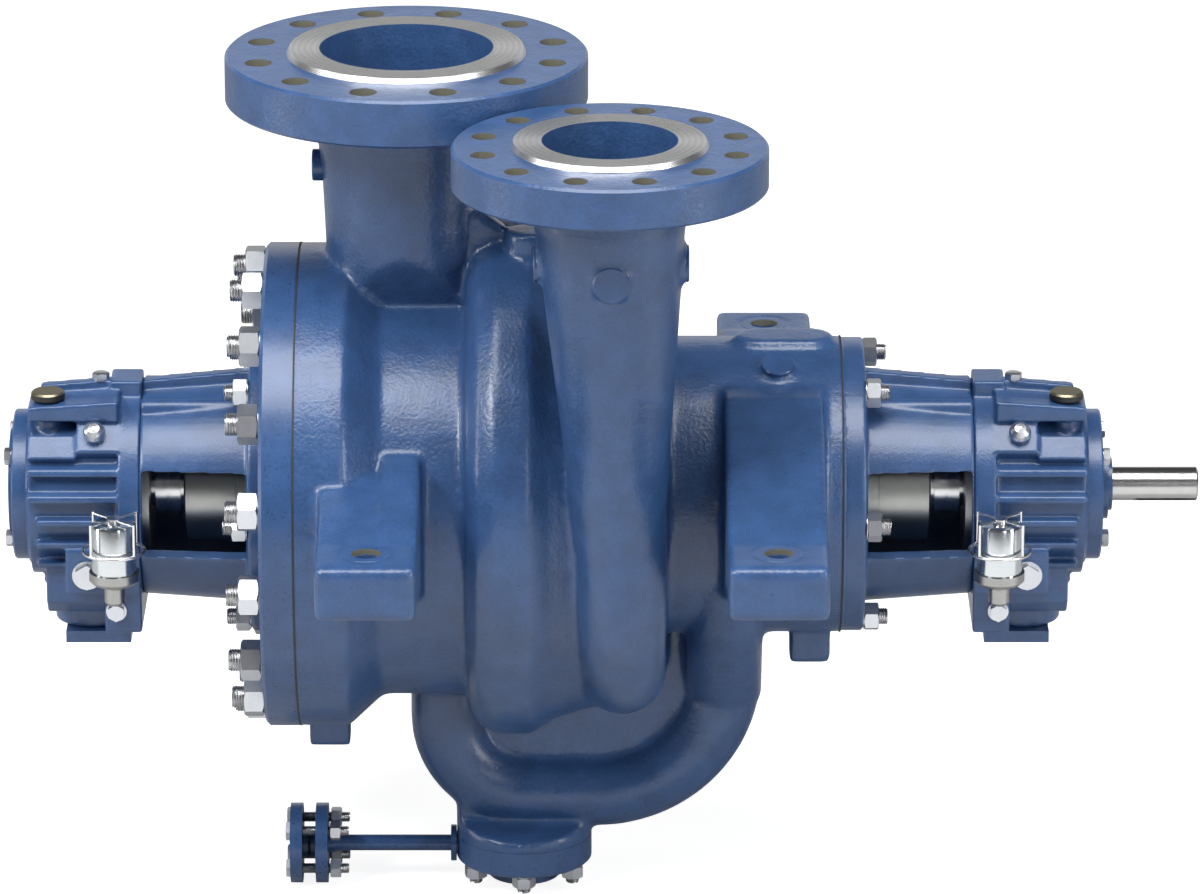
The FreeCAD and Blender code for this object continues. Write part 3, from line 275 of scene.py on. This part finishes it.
@dataclass(frozen=True)
class Metal:
    """Bare, plated or turned metal."""

    name: str
    colour: Colour = (0.62, 0.62, 0.63)
    roughness: float = 0.27
    spread: float = 0.14
    streak: Point = (1.0, 1.0, 1.0)
    streak_scale: float = 420.0
    height: float = 0.00004

    def shader(self, graph: Graph) -> Link:
        """Adds the metal surface to a graph."""
        fine = graph.noise(self.streak_scale, 3.0, self.streak)
        broad = graph.noise(90.0, 2.0)
        dark = tuple(0.74 * part for part in self.colour)
        return graph.surface(
            {
                "Base Color": graph.blend(fine * 0.5 + broad * 0.5, dark, self.colour),
                "Metallic": 1.0,
                "Roughness": self.roughness + (fine - 0.5) * self.spread,
                "Normal": graph.bump(fine, self.height),
            }
        )

    def material(self) -> bpy.types.Material:
        """The finished material."""
        graph = Graph(self.name)
        return graph.finish(self.shader(graph))


@dataclass(frozen=True)
class TurnedFace:
    """Painted flange whose raised face is bare, with the fine grooves that a lathe leaves."""

    name: str
    centre: Pair
    face_z: float
    bore_r: float
    pitch: float = 0.0008
    paint: Paint = field(default_factory=lambda: Paint("flange_ground"))

    def material(self) -> bpy.types.Material:
        """The finished material."""
        graph = Graph(self.name)
        across = graph.axis(0) - self.centre[0]
        along = graph.axis(1) - self.centre[1]
        radius = (across * across + along * along) ** 0.5
        groove = (radius * (2.0 * math.pi / self.pitch)).sine() * 0.5 + 0.5
        broad = graph.noise(26.0)
        streak = (radius * 900.0).sine() * 0.5 + 0.5
        bright = graph.surface(
            {
                "Base Color": graph.blend(streak * 0.5 + broad * 0.4, (0.66, 0.66, 0.66), (0.88, 0.88, 0.87)),
                "Metallic": 1.0,
                "Roughness": 0.26 + groove * 0.12,
                "Normal": graph.bump(groove, 0.00012),
            }
        )
        bare = (graph.axis(2) > self.face_z - 0.0062) * (radius > self.bore_r + 0.0006)
        painted = self.paint.shader(graph)
        mixed = graph.node("ShaderNodeMixShader", None, {0: bare, 1: painted, 2: bright})
        return graph.finish(mixed)


@dataclass(frozen=True)
class Matt:
    """Dull surface such as rubber, graphite or the primer left in a drilled hole."""

    name: str
    colour: Colour
    roughness: float = 0.7
    metallic: float = 0.0

    def material(self) -> bpy.types.Material:
        """The finished material."""
        graph = Graph(self.name)
        fine = graph.noise(500.0, 3.0)
        dark = tuple(0.7 * part for part in self.colour)
        return graph.finish(
            graph.surface(
                {
                    "Base Color": graph.blend(fine, dark, self.colour),
                    "Metallic": self.metallic,
                    "Roughness": self.roughness + (fine - 0.5) * 0.2,
                    "Normal": graph.bump(fine, 0.00006),
                }
            )
        )


@dataclass(frozen=True)
class Glass:
    """Clear glass with a faint unevenness."""

    name: str
    tint: Colour = (0.93, 0.96, 0.97)
    silvering: float = 0.8

    def material(self) -> bpy.types.Material:
        """The finished material."""
        graph = Graph(self.name)
        fine = graph.noise(420.0, 1.0, (1.0, 1.0, 0.02))
        return graph.finish(
            graph.surface(
                {
                    "Base Color": (*self.tint, 1.0),
                    "Roughness": 0.08 + fine * 0.16,
                    "IOR": 1.47,
                    "Metallic": self.silvering,
                    "Transmission Weight": 1.0,
                }
            )
        )


@dataclass(frozen=True)
class Capped:
    """Dark moulded cap with an aged brass disc on top."""

    name: str
    top_z: float

    def material(self) -> bpy.types.Material:
        """The finished material."""
        graph = Graph(self.name)
        fine = graph.noise(300.0, 3.0)
        dark = graph.surface({"Base Color": (0.012, 0.012, 0.013, 1.0), "Roughness": 0.4 + fine * 0.2})
        brass = graph.surface(
            {
                "Base Color": graph.blend(fine, (0.2, 0.17, 0.11), (0.36, 0.32, 0.22)),
                "Metallic": 1.0,
                "Roughness": 0.32 + fine * 0.14,
            }
        )
        top = graph.axis(2) > self.top_z
        return graph.finish(graph.node("ShaderNodeMixShader", None, {0: top, 1: dark, 2: brass}))


class Finishes:
    """Every finish of the pump, made once."""

    def __init__(self) -> None:
        self.cast = Paint("cast_blue").material()
        self.smooth = Paint("smooth_blue", grain=0.00008, swell=0.0003, roughness=0.3).material()
        self.housing = Paint("housing_blue", grain=0.0003, grain_scale=420.0, swell=0.0006).material()
        self.zinc = Metal("plated_steel", (0.7, 0.72, 0.76), 0.33, 0.08).material()
        self.stud = Metal("stud_steel", (0.52, 0.52, 0.53), 0.32).material()
        self.shaft = Metal("ground_shaft", (0.6, 0.6, 0.59), 0.2, 0.12, (40.0, 1.0, 1.0)).material()
        self.polished = Metal("polished_collar", (0.86, 0.86, 0.86), 0.24, 0.06, (60.0, 1.0, 1.0)).material()
        self.fitting = Metal("oiler_fitting", (0.42, 0.42, 0.41), 0.3).material()
        self.satin = Metal("satin_sleeve", (0.44, 0.45, 0.43), 0.34, 0.1, (30.0, 1.0, 1.0)).material()
        self.breather = Capped("breather", 0.1282).material()
        self.ring = Metal("turned_ring", (0.5, 0.5, 0.5), 0.4).material()
        self.gasket = Matt("graphite_gasket", (0.03, 0.03, 0.032), 0.75).material()
        self.primer = Matt("hole_primer", (0.17, 0.165, 0.125), 0.6).material()
        self.glass = Glass("oiler_glass", (0.74, 0.78, 0.8)).material()


# Meshes.


def facing(origin: Iterable[float], axis: Vector, spin: float = 0.0) -> Matrix:
    """Placing matrix whose Z is an axis.

    Args:
        origin: where the piece's own origin goes, in metres.
        axis: direction of its own Z.
        spin: turn about that axis, in degrees.

    Returns:
        The matrix.
    """
    turn = Vector(axis).to_track_quat("Z", "Y").to_matrix().to_4x4()
    return Matrix.Translation(Vector(origin)) @ turn @ Matrix.Rotation(math.radians(spin), 4, "Z")


class Draft:
    """Vertices and faces gathered for one mesh."""

    def __init__(self) -> None:
        self.points: list[Vector] = []
        self.faces: list[tuple[int, ...]] = []

    def add(self, points: Iterable[Vector], faces: Iterable[Sequence[int]], place: Matrix) -> None:
        """Adds a part.

        Args:
            points: its vertices.
            faces: its faces, by number of vertex.
            place: where it goes.
        """
        start = len(self.points)
        self.points += [place @ Vector(point) for point in points]
        self.faces += [tuple(start + index for index in face) for face in faces]

    def rings(self, rings: Sequence[Sequence[Vector]], place: Matrix, closed: bool = False) -> None:
        """Joins rings of equal length into a skin, and caps its ends unless it is closed."""
        count = len(rings[0])
        points = [point for ring in rings for point in ring]
        faces: list[Sequence[int]] = []
        pairs = len(rings) if closed else len(rings) - 1
        for row in range(pairs):
            low = row * count
            high = (row + 1) % len(rings) * count
            for step in range(count):
                after = (step + 1) % count
                faces.append((low + step, low + after, high + after, high + step))
        if not closed:
            faces.append(tuple(reversed(range(count))))
            faces.append(tuple(range((len(rings) - 1) * count, len(rings) * count)))
        self.add(points, faces, place)

    def lathe(self, profile: Sequence[Pair], place: Matrix, segments: int = 64, closed: bool = False) -> None:
        """Turns (radius, height) pairs about the Z of a matrix.

        Args:
            profile: the pairs, upwards along the outside; a closed one comes back inside.
            place: where the turned form goes.
            segments: sides of the turning.
            closed: joins the last pair to the first, which makes a ring.
        """
        turns = [2.0 * math.pi * step / segments for step in range(segments)]
        rings = [[Vector((r * math.cos(t), r * math.sin(t), h)) for t in turns] for r, h in profile]
        self.rings(rings, place, closed)

    def hexagon(self, place: Matrix, flats: float, height: float, hole_r: float = 0.0) -> None:
        """Hexagon nut or head whose top corners are turned off at 30 degrees."""
        half = flats / 2.0
        steps = 48
        turns = [2.0 * math.pi * step / steps for step in range(steps)]
        corner = []
        for turn in turns:
            local = (math.degrees(turn) % 60.0) - 30.0
            corner.append(half / math.cos(math.radians(local)))
        slope = math.tan(math.radians(30.0))
        flat_r = half * 0.96

        def ring(radii: Sequence[float], heights: Sequence[float]) -> list[Vector]:
            """Ring of points at given radii and heights."""
            return [
                Vector((r * math.cos(t), r * math.sin(t), h)) for r, h, t in zip(radii, heights, turns)
            ]

        edge = [height - (r - flat_r) * slope for r in corner]
        rings = [
            ring([flat_r] * steps, [0.0] * steps),
            ring(corner, [(r - flat_r) * slope for r in corner]),
            ring(corner, edge),
            ring([flat_r] * steps, [height] * steps),
        ]
        if hole_r > 0.0:
            rings.append(ring([hole_r] * steps, [height] * steps))
            rings.append(ring([hole_r] * steps, [0.0] * steps))
        self.rings(rings, place, closed=hole_r > 0.0)

    def thread(self, place: Matrix, radius: float, length: float, pitch: float) -> None:
        """Threaded rod with a true helix and a chamfered tip."""
        steps = 20
        depth = pitch * 0.55
        rows = max(4, int(length / pitch * 4))
        rings = []
        for row in range(rows + 1):
            height = length * row / rows
            ring = []
            for step in range(steps):
                turn = 2.0 * math.pi * step / steps
                phase = (height / pitch - step / steps) % 1.0
                wave = abs(2.0 * phase - 1.0)
                tip = max(0.0, height - (length - pitch * 0.7))
                r = radius - depth * wave - tip * 0.6
                ring.append(Vector((r * math.cos(turn), r * math.sin(turn), height)))
            rings.append(ring)
        self.rings(rings, place)

    def mesh(self, name: str) -> bpy.types.Mesh:
        """The gathered mesh."""
        mesh = bpy.data.meshes.new(name)
        mesh.from_pydata([tuple(point) for point in self.points], [], self.faces)
        mesh.validate()
        mesh.update()
        return mesh


def show(
    name: str,
    mesh: bpy.types.Mesh,
    material: bpy.types.Material,
    body: str,
    replaced: Sequence[str] = (),
    sharp: float = 32.0,
) -> bpy.types.Object:
    """Puts a mesh in the scene as a piece of the pump.

    Args:
        name: the piece's name.
        mesh: its mesh.
        material: its finish.
        body: the body that it rides on.
        replaced: CAD nodes that it stands for.
        sharp: angle in degrees over which an edge stays sharp.

    Returns:
        The object.
    """
    piece = bpy.data.objects.new(name, mesh)
    bpy.context.scene.collection.objects.link(piece)
    mesh.materials.clear()
    mesh.materials.append(material)
    mesh.shade_smooth()
    mesh.set_sharp_from_angle(angle=math.radians(sharp))
    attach(piece, body)
    if replaced:
        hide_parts(*replaced)
    LOG.info("%s: %d faces", name, len(mesh.polygons))
    return piece


def blended(
    name: str, source: bpy.types.Mesh, voxel: float, rounds: int, keep: float = 1.0
) -> bpy.types.Mesh:
    """Melts overlapping closed forms into one casting with rounded corners.

    Args:
        name: name of the new mesh.
        source: the closed forms, in one mesh.
        voxel: size of the grid, in metres.
        rounds: rounds of smoothing, which set the size of the fillets.
        keep: share of the faces that stays.

    Returns:
        The casting's mesh.
    """
    carrier = bpy.data.objects.new(name + "_source", source)
    bpy.context.scene.collection.objects.link(carrier)
    remesh = carrier.modifiers.new("grid", "REMESH")
    remesh.mode = "VOXEL"
    remesh.voxel_size = voxel
    soften = carrier.modifiers.new("fillets", "SMOOTH")
    soften.factor = 0.5
    soften.iterations = rounds
    if keep < 1.0:
        thin = carrier.modifiers.new("thin", "DECIMATE")
        thin.ratio = keep
    graph = bpy.context.evaluated_depsgraph_get()
    mesh = bpy.data.meshes.new_from_object(carrier.evaluated_get(graph))
    mesh.name = name
    bpy.data.objects.remove(carrier)
    return mesh


def joined(name: str, node: str, extra: Draft) -> bpy.types.Mesh:
    """Copies the mesh of a CAD node and adds drafted forms to it."""
    gathered = Draft()
    still = Matrix.Identity(4)
    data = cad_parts[node].data
    gathered.add([v.co for v in data.vertices], [tuple(f.vertices) for f in data.polygons], still)
    gathered.add(extra.points, extra.faces, still)
    return gathered.mesh(name)


# Castings.


@dataclass(frozen=True)
class Spigot:
    """Ring that carries a casting's skin past a joint, in millimetres."""

    centre: Point
    axis: Vector
    length: float
    inner_r: float
    outer_r: float

    def draft(self, draft: Draft) -> None:
        """Adds the ring, half of it on each side of its centre."""
        half = self.length / 2.0 * MM
        inner, outer = self.inner_r * MM, self.outer_r * MM
        place = facing(Vector(self.centre) * MM, self.axis)
        draft.lathe([(outer, -half), (outer, half), (inner, half), (inner, -half)], place, 96, closed=True)


@dataclass
class Casting:
    """A cast piece: its CAD form melted on a fine grid, so that its corners become fillets."""

    name: str
    node: str
    voxel: float
    rounds: int
    keep: float = 0.5
    spigots: tuple[Spigot, ...] = ()

    def build(self, finish: bpy.types.Material) -> None:
        """Builds the casting over its CAD node."""
        extra = Draft()
        for spigot in self.spigots:
            spigot.draft(extra)
        forms = joined(self.name + "_forms", self.node, extra)
        mesh = blended(self.name, forms, self.voxel, self.rounds, self.keep)
        show(self.name, mesh, finish, PUMP_BODY, [self.node], CAST_SHARP_DEG)


CASING_SPIGOTS = (
    Spigot((-316.0, 0.0, 0.0), ALONG_X, 30.0, 150.0, 282.6),
    Spigot((306.0, 0.0, 0.0), ALONG_X, 30.0, 110.0, 171.6),
    Spigot((-192.0, 0.0, 466.0), UP, 26.0, 102.0, 107.8),
    Spigot((42.0, -314.0, 420.0), UP, 24.0, 78.0, 85.4),
    Spigot((-59.0, 0.0, -436.0), UP, 20.0, 20.0, 79.0),
)


def castings() -> list[Casting]:
    """The casing, and the bracket and the housing of each end."""
    pieces = [Casting("cast_casing", "pump_casing", 0.0042, 9, 0.5, CASING_SPIGOTS)]
    for end in End:
        pieces.append(Casting("cast_bracket_" + end.label, "bearing_bracket_" + end.label, 0.0024, 3))
        pieces.append(Casting("cast_housing_" + end.label, "bearing_housing_" + end.label, 0.0021, 3))
    return pieces


# Fasteners.


WASHER_H = 0.8


@dataclass(frozen=True)
class Fastener:
    """Sizes of a stud and its nut, in millimetres."""

    stud_r: float
    pitch: float
    flats: float
    height: float
    tail: float

    def nut(self, nuts: Draft, studs: Draft, foot: Vector, axis: Vector, spin: float) -> None:
        """Adds one nut that stands on foot, with the stud's end above it."""
        place = facing(foot, axis, spin)
        washer_r = self.flats * 0.5 * MM
        nuts.lathe([(washer_r, 0.0), (washer_r, WASHER_H * MM)], place, 40)
        seat = place @ Matrix.Translation((0, 0, WASHER_H * MM))
        nuts.hexagon(seat, self.flats * MM, self.height * MM)
        if self.tail <= 0.0:
            return
        start = place @ Matrix.Translation((0, 0, self.height * MM))
        length = (self.tail + WASHER_H) * MM
        studs.thread(start, self.stud_r * MM, length, self.pitch * MM)


M27 = Fastener(13.5, 3.0, 41.0, 24.0, 14.0)
M20 = Fastener(10.0, 2.5, 30.0, 17.0, 10.5)
M16 = Fastener(8.0, 2.0, 24.0, 13.7, 6.8)
M12_HEAD = Fastener(6.0, 1.75, 18.0, 8.0, 0.0)


@dataclass
class StudCircle:
    """A circle of studs and nuts about an axis, sizes in millimetres."""

    name: str
    fastener: Fastener
    centre: Point
    axis: Vector
    circle_r: float
    count: int
    start_deg: float

    def build(self, finishes: Finishes) -> None:
        """Builds the nuts and the stud ends as two pieces."""
        nuts, studs = Draft(), Draft()
        base = facing(Vector(self.centre) * MM, self.axis)
        side = Vector((0, 0, 1)) if abs(self.axis.z) < 0.5 else Vector((0, -1, 0))
        other = self.axis.cross(side)
        for index in range(self.count):
            turn = math.radians(self.start_deg + 360.0 * index / self.count)
            arm = side * math.cos(turn) + other * math.sin(turn)
            foot = base.translation + arm * (self.circle_r * MM)
            self.fastener.nut(nuts, studs, foot, self.axis, 17.0 * index)
        show(self.name + "_nuts", nuts.mesh(self.name + "_nuts"), finishes.zinc, PUMP_BODY)
        if studs.points:
            show(self.name + "_studs", studs.mesh(self.name + "_studs"), finishes.stud, PUMP_BODY)


@dataclass(frozen=True)
class DrainBolts:
    """Headed bolts that clamp the small flanges of the drain, in millimetres."""

    axis_z: float = -450.45
    circle_r: float = 33.35
    head_x: float = -333.0
    nut_x: float = -289.0
    end_x: float = -267.0
    flats: float = 20.6
    head_h: float = 8.5
    nut_h: float = 12.5
    rod_r: float = 6.35

    def build(self, finishes: Finishes) -> None:
        """Builds the heads with their nuts, and the threaded rods."""
        heads, rods = Draft(), Draft()
        for index in range(4):
            turn = math.radians(45.0 + 90.0 * index)
            across, up = self.circle_r * math.cos(turn), self.axis_z + self.circle_r * math.sin(turn)
            left = facing(Vector((self.head_x, across, up)) * MM, -ALONG_X, 11.0 * index)
            right = facing(Vector((self.nut_x, across, up)) * MM, ALONG_X, 23.0 * index)
            heads.hexagon(left, self.flats * MM, self.head_h * MM)
            heads.hexagon(right, self.flats * MM, self.nut_h * MM)
            start = facing(Vector((self.head_x, across, up)) * MM, ALONG_X)
            rods.thread(start, self.rod_r * MM, (self.end_x - self.head_x) * MM, 1.95 * MM)
        show("drain_bolt_heads", heads.mesh("drain_bolt_heads"), finishes.zinc, PUMP_BODY)
        show("drain_bolt_rods", rods.mesh("drain_bolt_rods"), finishes.stud, PUMP_BODY)


@dataclass(frozen=True)
class Disc:
    """Turned boss face or seat on a casting, in millimetres."""

    centre: Point
    axis: Vector
    low: float
    top: float
    radius: float
    edge: float = 1.4
    hole_r: float = 0.0

    def draft(self, draft: Draft) -> None:
        """Adds the disc, with a chamfered edge and a hole if it has one."""
        place = facing(Vector(self.centre) * MM, self.axis)
        shoulder = self.top - self.edge
        pairs = [(self.radius, self.low), (self.radius, shoulder), (self.radius - self.edge, self.top)]
        if self.hole_r > 0.0:
            pairs += [(self.hole_r, self.top), (self.hole_r, self.low)]
        draft.lathe([(r * MM, h * MM) for r, h in pairs], place, 160, closed=self.hole_r > 0.0)


NECK_BOSS = (43.6, -308.6, 364.0)
BARREL_BOSS_TURN = math.radians(22.0)
BARREL_BOSS_WAY = Vector((0.0, -math.sin(BARREL_BOSS_TURN), math.cos(BARREL_BOSS_TURN)))
FOOT_PLACES = [(x, y) for x in (-231.0, 231.0) for y in (-430.0, 430.0)]
NECK_BOSS_DISCS = tuple(Disc(NECK_BOSS, way, 74.0, 87.4, 21.0) for way in (-ALONG_Y, ALONG_X, -ALONG_X))
BARREL_BOSS_DISC = Disc((237.0, 0.0, 0.0), BARREL_BOSS_WAY, 168.0, 183.2, 19.6)
SUCTION_BOSS_DISC = Disc((-290.0, 0.0, 389.0), -ALONG_X, -14.0, 12.0, 18.5)
HUB_BAND = Disc((42.0, -314.0, 0.0), UP, 421.5, 454.0, 88.4, 2.0, 80.0)
COVER_RIM = Disc((-320.2, 0.0, 0.0), -ALONG_X, 0.0, 38.1, 283.2, 4.2, 214.0)
JOINTS = ((-319.4, 283.5), (310.6, 174.0))
JOINT_DEPTH = 12.0
JOINT_W = 1.8
HOUSING_BOLT_X = (512.5, -550.5)
HOUSING_BOLT_Y = -14.0
HOUSING_BOLT_Z = 132.6
OILER_X = {End.DRIVE: 492.0, End.NONDRIVE: -529.5}
OILER_Y = -168.0
OILER_PROFILE = ((26.0, -50.0), (26.0, 5.0), (25.2, 7.2), (23.2, 8.0))


def machined_faces(finishes: Finishes) -> None:
    """Builds the crisp boss faces, the spot faces of the feet and the dark joint lines."""
    discs = [*NECK_BOSS_DISCS, BARREL_BOSS_DISC, SUCTION_BOSS_DISC, HUB_BAND, COVER_RIM]
    for x, y in FOOT_PLACES:
        discs.append(Disc((x, y, 0.0), UP, 50.0, 61.6, 29.0, 0.8, 16.8))
    faces = Draft()
    for disc in discs:
        disc.draft(faces)
    show("boss_faces", faces.mesh("boss_faces"), finishes.smooth, PUMP_BODY)
    walls = Draft()
    for x, y in FOOT_PLACES:
        Disc((x, y, 0.0), UP, 0.4, 61.3, 16.9, 0.1, 16.3).draft(walls)
    show("foot_hole_walls", walls.mesh("foot_hole_walls"), finishes.primer, PUMP_BODY)
    lines = Draft()
    for x, radius in JOINTS:
        Disc((x, 0.0, 0.0), ALONG_X, 0.0, JOINT_W, radius, 0.1, radius - JOINT_DEPTH).draft(lines)
    show("joint_lines", lines.mesh("joint_lines"), finishes.gasket, PUMP_BODY)


def oiler_bottles(finishes: Finishes) -> None:
    """Builds the glass bottle of each oiler over its CAD node."""
    for end, x in OILER_X.items():
        bottle = Draft()
        place = Matrix.Translation(Vector((x, OILER_Y, 0.0)) * MM)
        bottle.lathe([(r * MM, h * MM) for r, h in OILER_PROFILE], place, 96)
        name = "bottle_" + end.label
        show(name, bottle.mesh(name), finishes.glass, PUMP_BODY, ["oiler_bottle_" + end.label])


def housing_bolts(finishes: Finishes) -> None:
    """Builds the hexagon head on the ridge of each housing."""
    heads = Draft()
    for x in HOUSING_BOLT_X:
        M12_HEAD.nut(heads, Draft(), Vector((x, HOUSING_BOLT_Y, HOUSING_BOLT_Z)) * MM, UP, 12.0)
    show("housing_bolt_heads", heads.mesh("housing_bolt_heads"), finishes.zinc, PUMP_BODY)


# Flanges.


@dataclass
class NozzleFlange:
    """Dresses one nozzle flange and lines its bolt holes, sizes in millimetres."""

    finishes: Finishes
    node: str
    centre: Pair
    face_z: float
    bore_r: float
    circle_r: float
    hole_r: float
    thickness: float
    count: int = 12
    raised: float = 6.4

    def build(self) -> None:
        """Dresses the node and builds its hole linings."""
        middle = (self.centre[0] * MM, self.centre[1] * MM)
        face = TurnedFace(self.node + "_face", middle, self.face_z * MM, self.bore_r * MM)
        dress(self.node, face.material())
        top = self.face_z - self.raised
        wall = Draft()
        for index in range(self.count):
            turn = math.radians(360.0 * (index + 0.5) / self.count)
            x = self.centre[0] + self.circle_r * math.cos(turn)
            y = self.centre[1] + self.circle_r * math.sin(turn)
            inner, outer = (self.hole_r - 0.35) * MM, (self.hole_r + 0.05) * MM
            low, high = 0.2 * MM, (self.thickness - 0.3) * MM
            place = Matrix.Translation((x * MM, y * MM, (top - self.thickness) * MM))
            wall.lathe([(outer, low), (outer, high), (inner, high), (inner, low)], place, 32, closed=True)
        name = self.node + "_hole_walls"
        show(name, wall.mesh(name), self.finishes.primer, PUMP_BODY)


def dress(node: str, material: bpy.types.Material) -> None:
    """Gives a CAD node a finish, in its object's own material slots."""
    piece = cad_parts[node]
    if not piece.material_slots:
        piece.data.materials.append(material)
    for slot in piece.material_slots:
        slot.link = "OBJECT"
        slot.material = material


# Studio.


@dataclass(frozen=True)
class Lamp:
    """Soft rectangular light that faces the pump, in metres and watts."""

    name: str
    where: Point
    size: Pair
    power: float

    def build(self) -> None:
        """Creates the light."""
        data = bpy.data.lights.new(self.name, "AREA")
        data.shape = "RECTANGLE"
        data.size, data.size_y = self.size
        data.energy = self.power
        lamp = bpy.data.objects.new(self.name, data)
        bpy.context.scene.collection.objects.link(lamp)
        lamp.location = self.where
        lamp.rotation_mode = "QUATERNION"
        lamp.rotation_quaternion = (-Vector(self.where)).to_track_quat("-Z", "Y")


LAMPS = (
    Lamp("key", (-4.4, -3.4, 4.4), (1.6, 1.6), 260.0),
    Lamp("left_strip", (-5.0, -0.6, 1.2), (0.6, 4.0), 75.0),
    Lamp("right_strip", (4.6, -2.6, 1.6), (0.9, 4.0), 120.0),
    Lamp("front_right", (2.4, -5.0, 1.4), (1.0, 2.6), 30.0),
    Lamp("overhead", (0.0, -1.9, 5.0), (5.0, 3.0), 380.0),
)


@dataclass
class Studio:
    """Pale sweep, soft lights and the camera of the photograph."""

    target: Point = (0.031, 0.0, 0.045)
    distance: float = 9.296
    elevation: float = 18.3
    lens: float = 238.3
    floor_z: float = -0.497

    def sweep(self) -> None:
        """Builds the floor and backdrop in one curved sheet."""
        draft = Draft()
        outline = [(-16.0, self.floor_z)]
        for step in range(13):
            turn = math.radians(-90.0 + 7.5 * step)
            outline.append((17.0 + 2.0 * math.cos(turn), self.floor_z + 2.0 + 2.0 * math.sin(turn)))
        outline.append((19.0, 12.0))
        points = [Vector((x, y, z)) for y, z in outline for x in (-24.0, 24.0)]
        faces = [(2 * i, 2 * i + 1, 2 * i + 3, 2 * i + 2) for i in range(len(outline) - 1)]
        draft.add(points, faces, Matrix.Identity(4))
        graph = Graph("pale_sweep")
        rays = graph.node("ShaderNodeLightPath", output="Is Camera Ray")
        glossy = graph.node("ShaderNodeLightPath", output="Is Glossy Ray")
        through = graph.node("ShaderNodeLightPath", output="Is Transmission Ray")
        near = graph.axis(1) < -0.32
        back = (graph.axis(1) > 8.0) * (graph.axis(2) < 8.0)
        seen = (rays + glossy * (near * 0.5 + back * 0.7 + 0.04) + through).maths("MINIMUM", 1.0)
        pale = graph.surface({"Base Color": (0.48, 0.48, 0.48, 1.0), "Roughness": 0.9})
        white = graph.node("ShaderNodeEmission", None, {"Color": (1, 1, 1, 1), "Strength": 0.88})
        both = graph.node("ShaderNodeAddShader", None, {0: pale, 1: white})
        mesh = draft.mesh("sweep")
        mixed = graph.node("ShaderNodeMixShader", None, {0: seen, 1: pale, 2: both})
        mesh.materials.append(graph.finish(mixed))
        sheet = bpy.data.objects.new("sweep", mesh)
        bpy.context.scene.collection.objects.link(sheet)

    def camera(self) -> None:
        """Creates the camera at the photograph's angle."""
        data = bpy.data.cameras.new("camera")
        data.lens = self.lens
        data.sensor_width = 36.0
        camera = bpy.data.objects.new("camera", data)
        bpy.context.scene.collection.objects.link(camera)
        lift = math.radians(self.elevation)
        back = Vector((0.0, -math.cos(lift), math.sin(lift)))
        camera.location = Vector(self.target) + back * self.distance
        camera.rotation_mode = "QUATERNION"
        camera.rotation_quaternion = (-back).to_track_quat("-Z", "Y")
        bpy.context.scene.camera = camera

    def build(self) -> None:
        """Builds the whole studio."""
        self.sweep()
        for lamp in LAMPS:
            lamp.build()
        self.camera()
        world = bpy.data.worlds.new("studio")
        bpy.context.scene.world = world
        world.use_nodes = True
        world.node_tree.nodes["Background"].inputs["Color"].default_value = (0.75, 0.78, 0.82, 1.0)
        world.node_tree.nodes["Background"].inputs["Strength"].default_value = 0.1
        bpy.context.scene.view_settings.view_transform = "Standard"


def node_finishes(finishes: Finishes) -> dict[str, bpy.types.Material]:
    """Finish of each CAD node that stays in view, by the start of its name."""
    return {
        "casing_cover": finishes.smooth,
        "cover_gasket": finishes.gasket,
        "bracket_gasket": finishes.gasket,
        "shaft_seal_ring": finishes.smooth,
        "bearing_bracket": finishes.housing,
        "bearing_housing": finishes.housing,
        "end_cover": finishes.housing,
        "inner_bearing_cover": finishes.ring,
        "seal_gland": finishes.satin,
        "seal_sleeve": finishes.polished,
        "shaft_collar": finishes.polished,
        "breather_cap": finishes.breather,
        "oil_plugs": finishes.zinc,
        "sump_cover": finishes.housing,
        "oiler_base": finishes.fitting,
        "oiler_bottle": finishes.glass,
        "oiler_cage": finishes.polished,
        "shaft": finishes.shaft,
        "drain_cover": finishes.smooth,
        "drain_pipe": finishes.smooth,
        "drain_pipe_flange": finishes.smooth,
        "drain_gasket": finishes.gasket,
        "drain_blind_flange": finishes.smooth,
    }


def main() -> None:
    """Builds every sub-assembly in order."""
    logging.basicConfig(level=logging.INFO, format="%(name)s %(message)s")
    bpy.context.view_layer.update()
    finishes = Finishes()
    starts = sorted(node_finishes(finishes).items(), key=lambda pair: -len(pair[0]))
    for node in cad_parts:
        for start, material in starts:
            if node.startswith(start):
                dress(node, material)
                break
    looks = {"casing": finishes.cast, "bracket": finishes.housing, "housing": finishes.housing}
    for casting in castings():
        casting.build(looks[casting.name.split("_")[1]])
    NozzleFlange(finishes, "suction_flange", (-192.0, 0.0), 530.0, 100.0, 174.6, 15.9, 55.6).build()
    NozzleFlange(finishes, "discharge_flange", (42.0, -314.0), 509.0, 76.0, 146.05, 14.2, 47.7).build()
    circles = [
        StudCircle("cover", M27, (-358.0, 0.0, 0.0), -ALONG_X, 257.0, 16, 11.25),
        StudCircle("nondrive_bracket", M20, (-376.0, 0.0, 0.0), -ALONG_X, 158.0, 6, 30.0),
        StudCircle("drive_bracket", M20, (338.5, 0.0, 0.0), ALONG_X, 158.0, 6, 30.0),
        StudCircle("drain_cover", M16, (-59.0, 0.0, -466.0), -UP, 66.0, 6, 0.0),
        StudCircle("drive_end_cover", M12_HEAD, (616.0, 0.0, 0.0), ALONG_X, 71.0, 4, 45.0),
        StudCircle("nondrive_end_cover", M12_HEAD, (-653.5, 0.0, 0.0), -ALONG_X, 71.0, 4, 45.0),
    ]
    for circle in circles:
        circle.build(finishes)
    DrainBolts().build(finishes)
    housing_bolts(finishes)
    machined_faces(finishes)
    oiler_bottles(finishes)
    Studio().build()


if __name__ == "__main__":
    main()
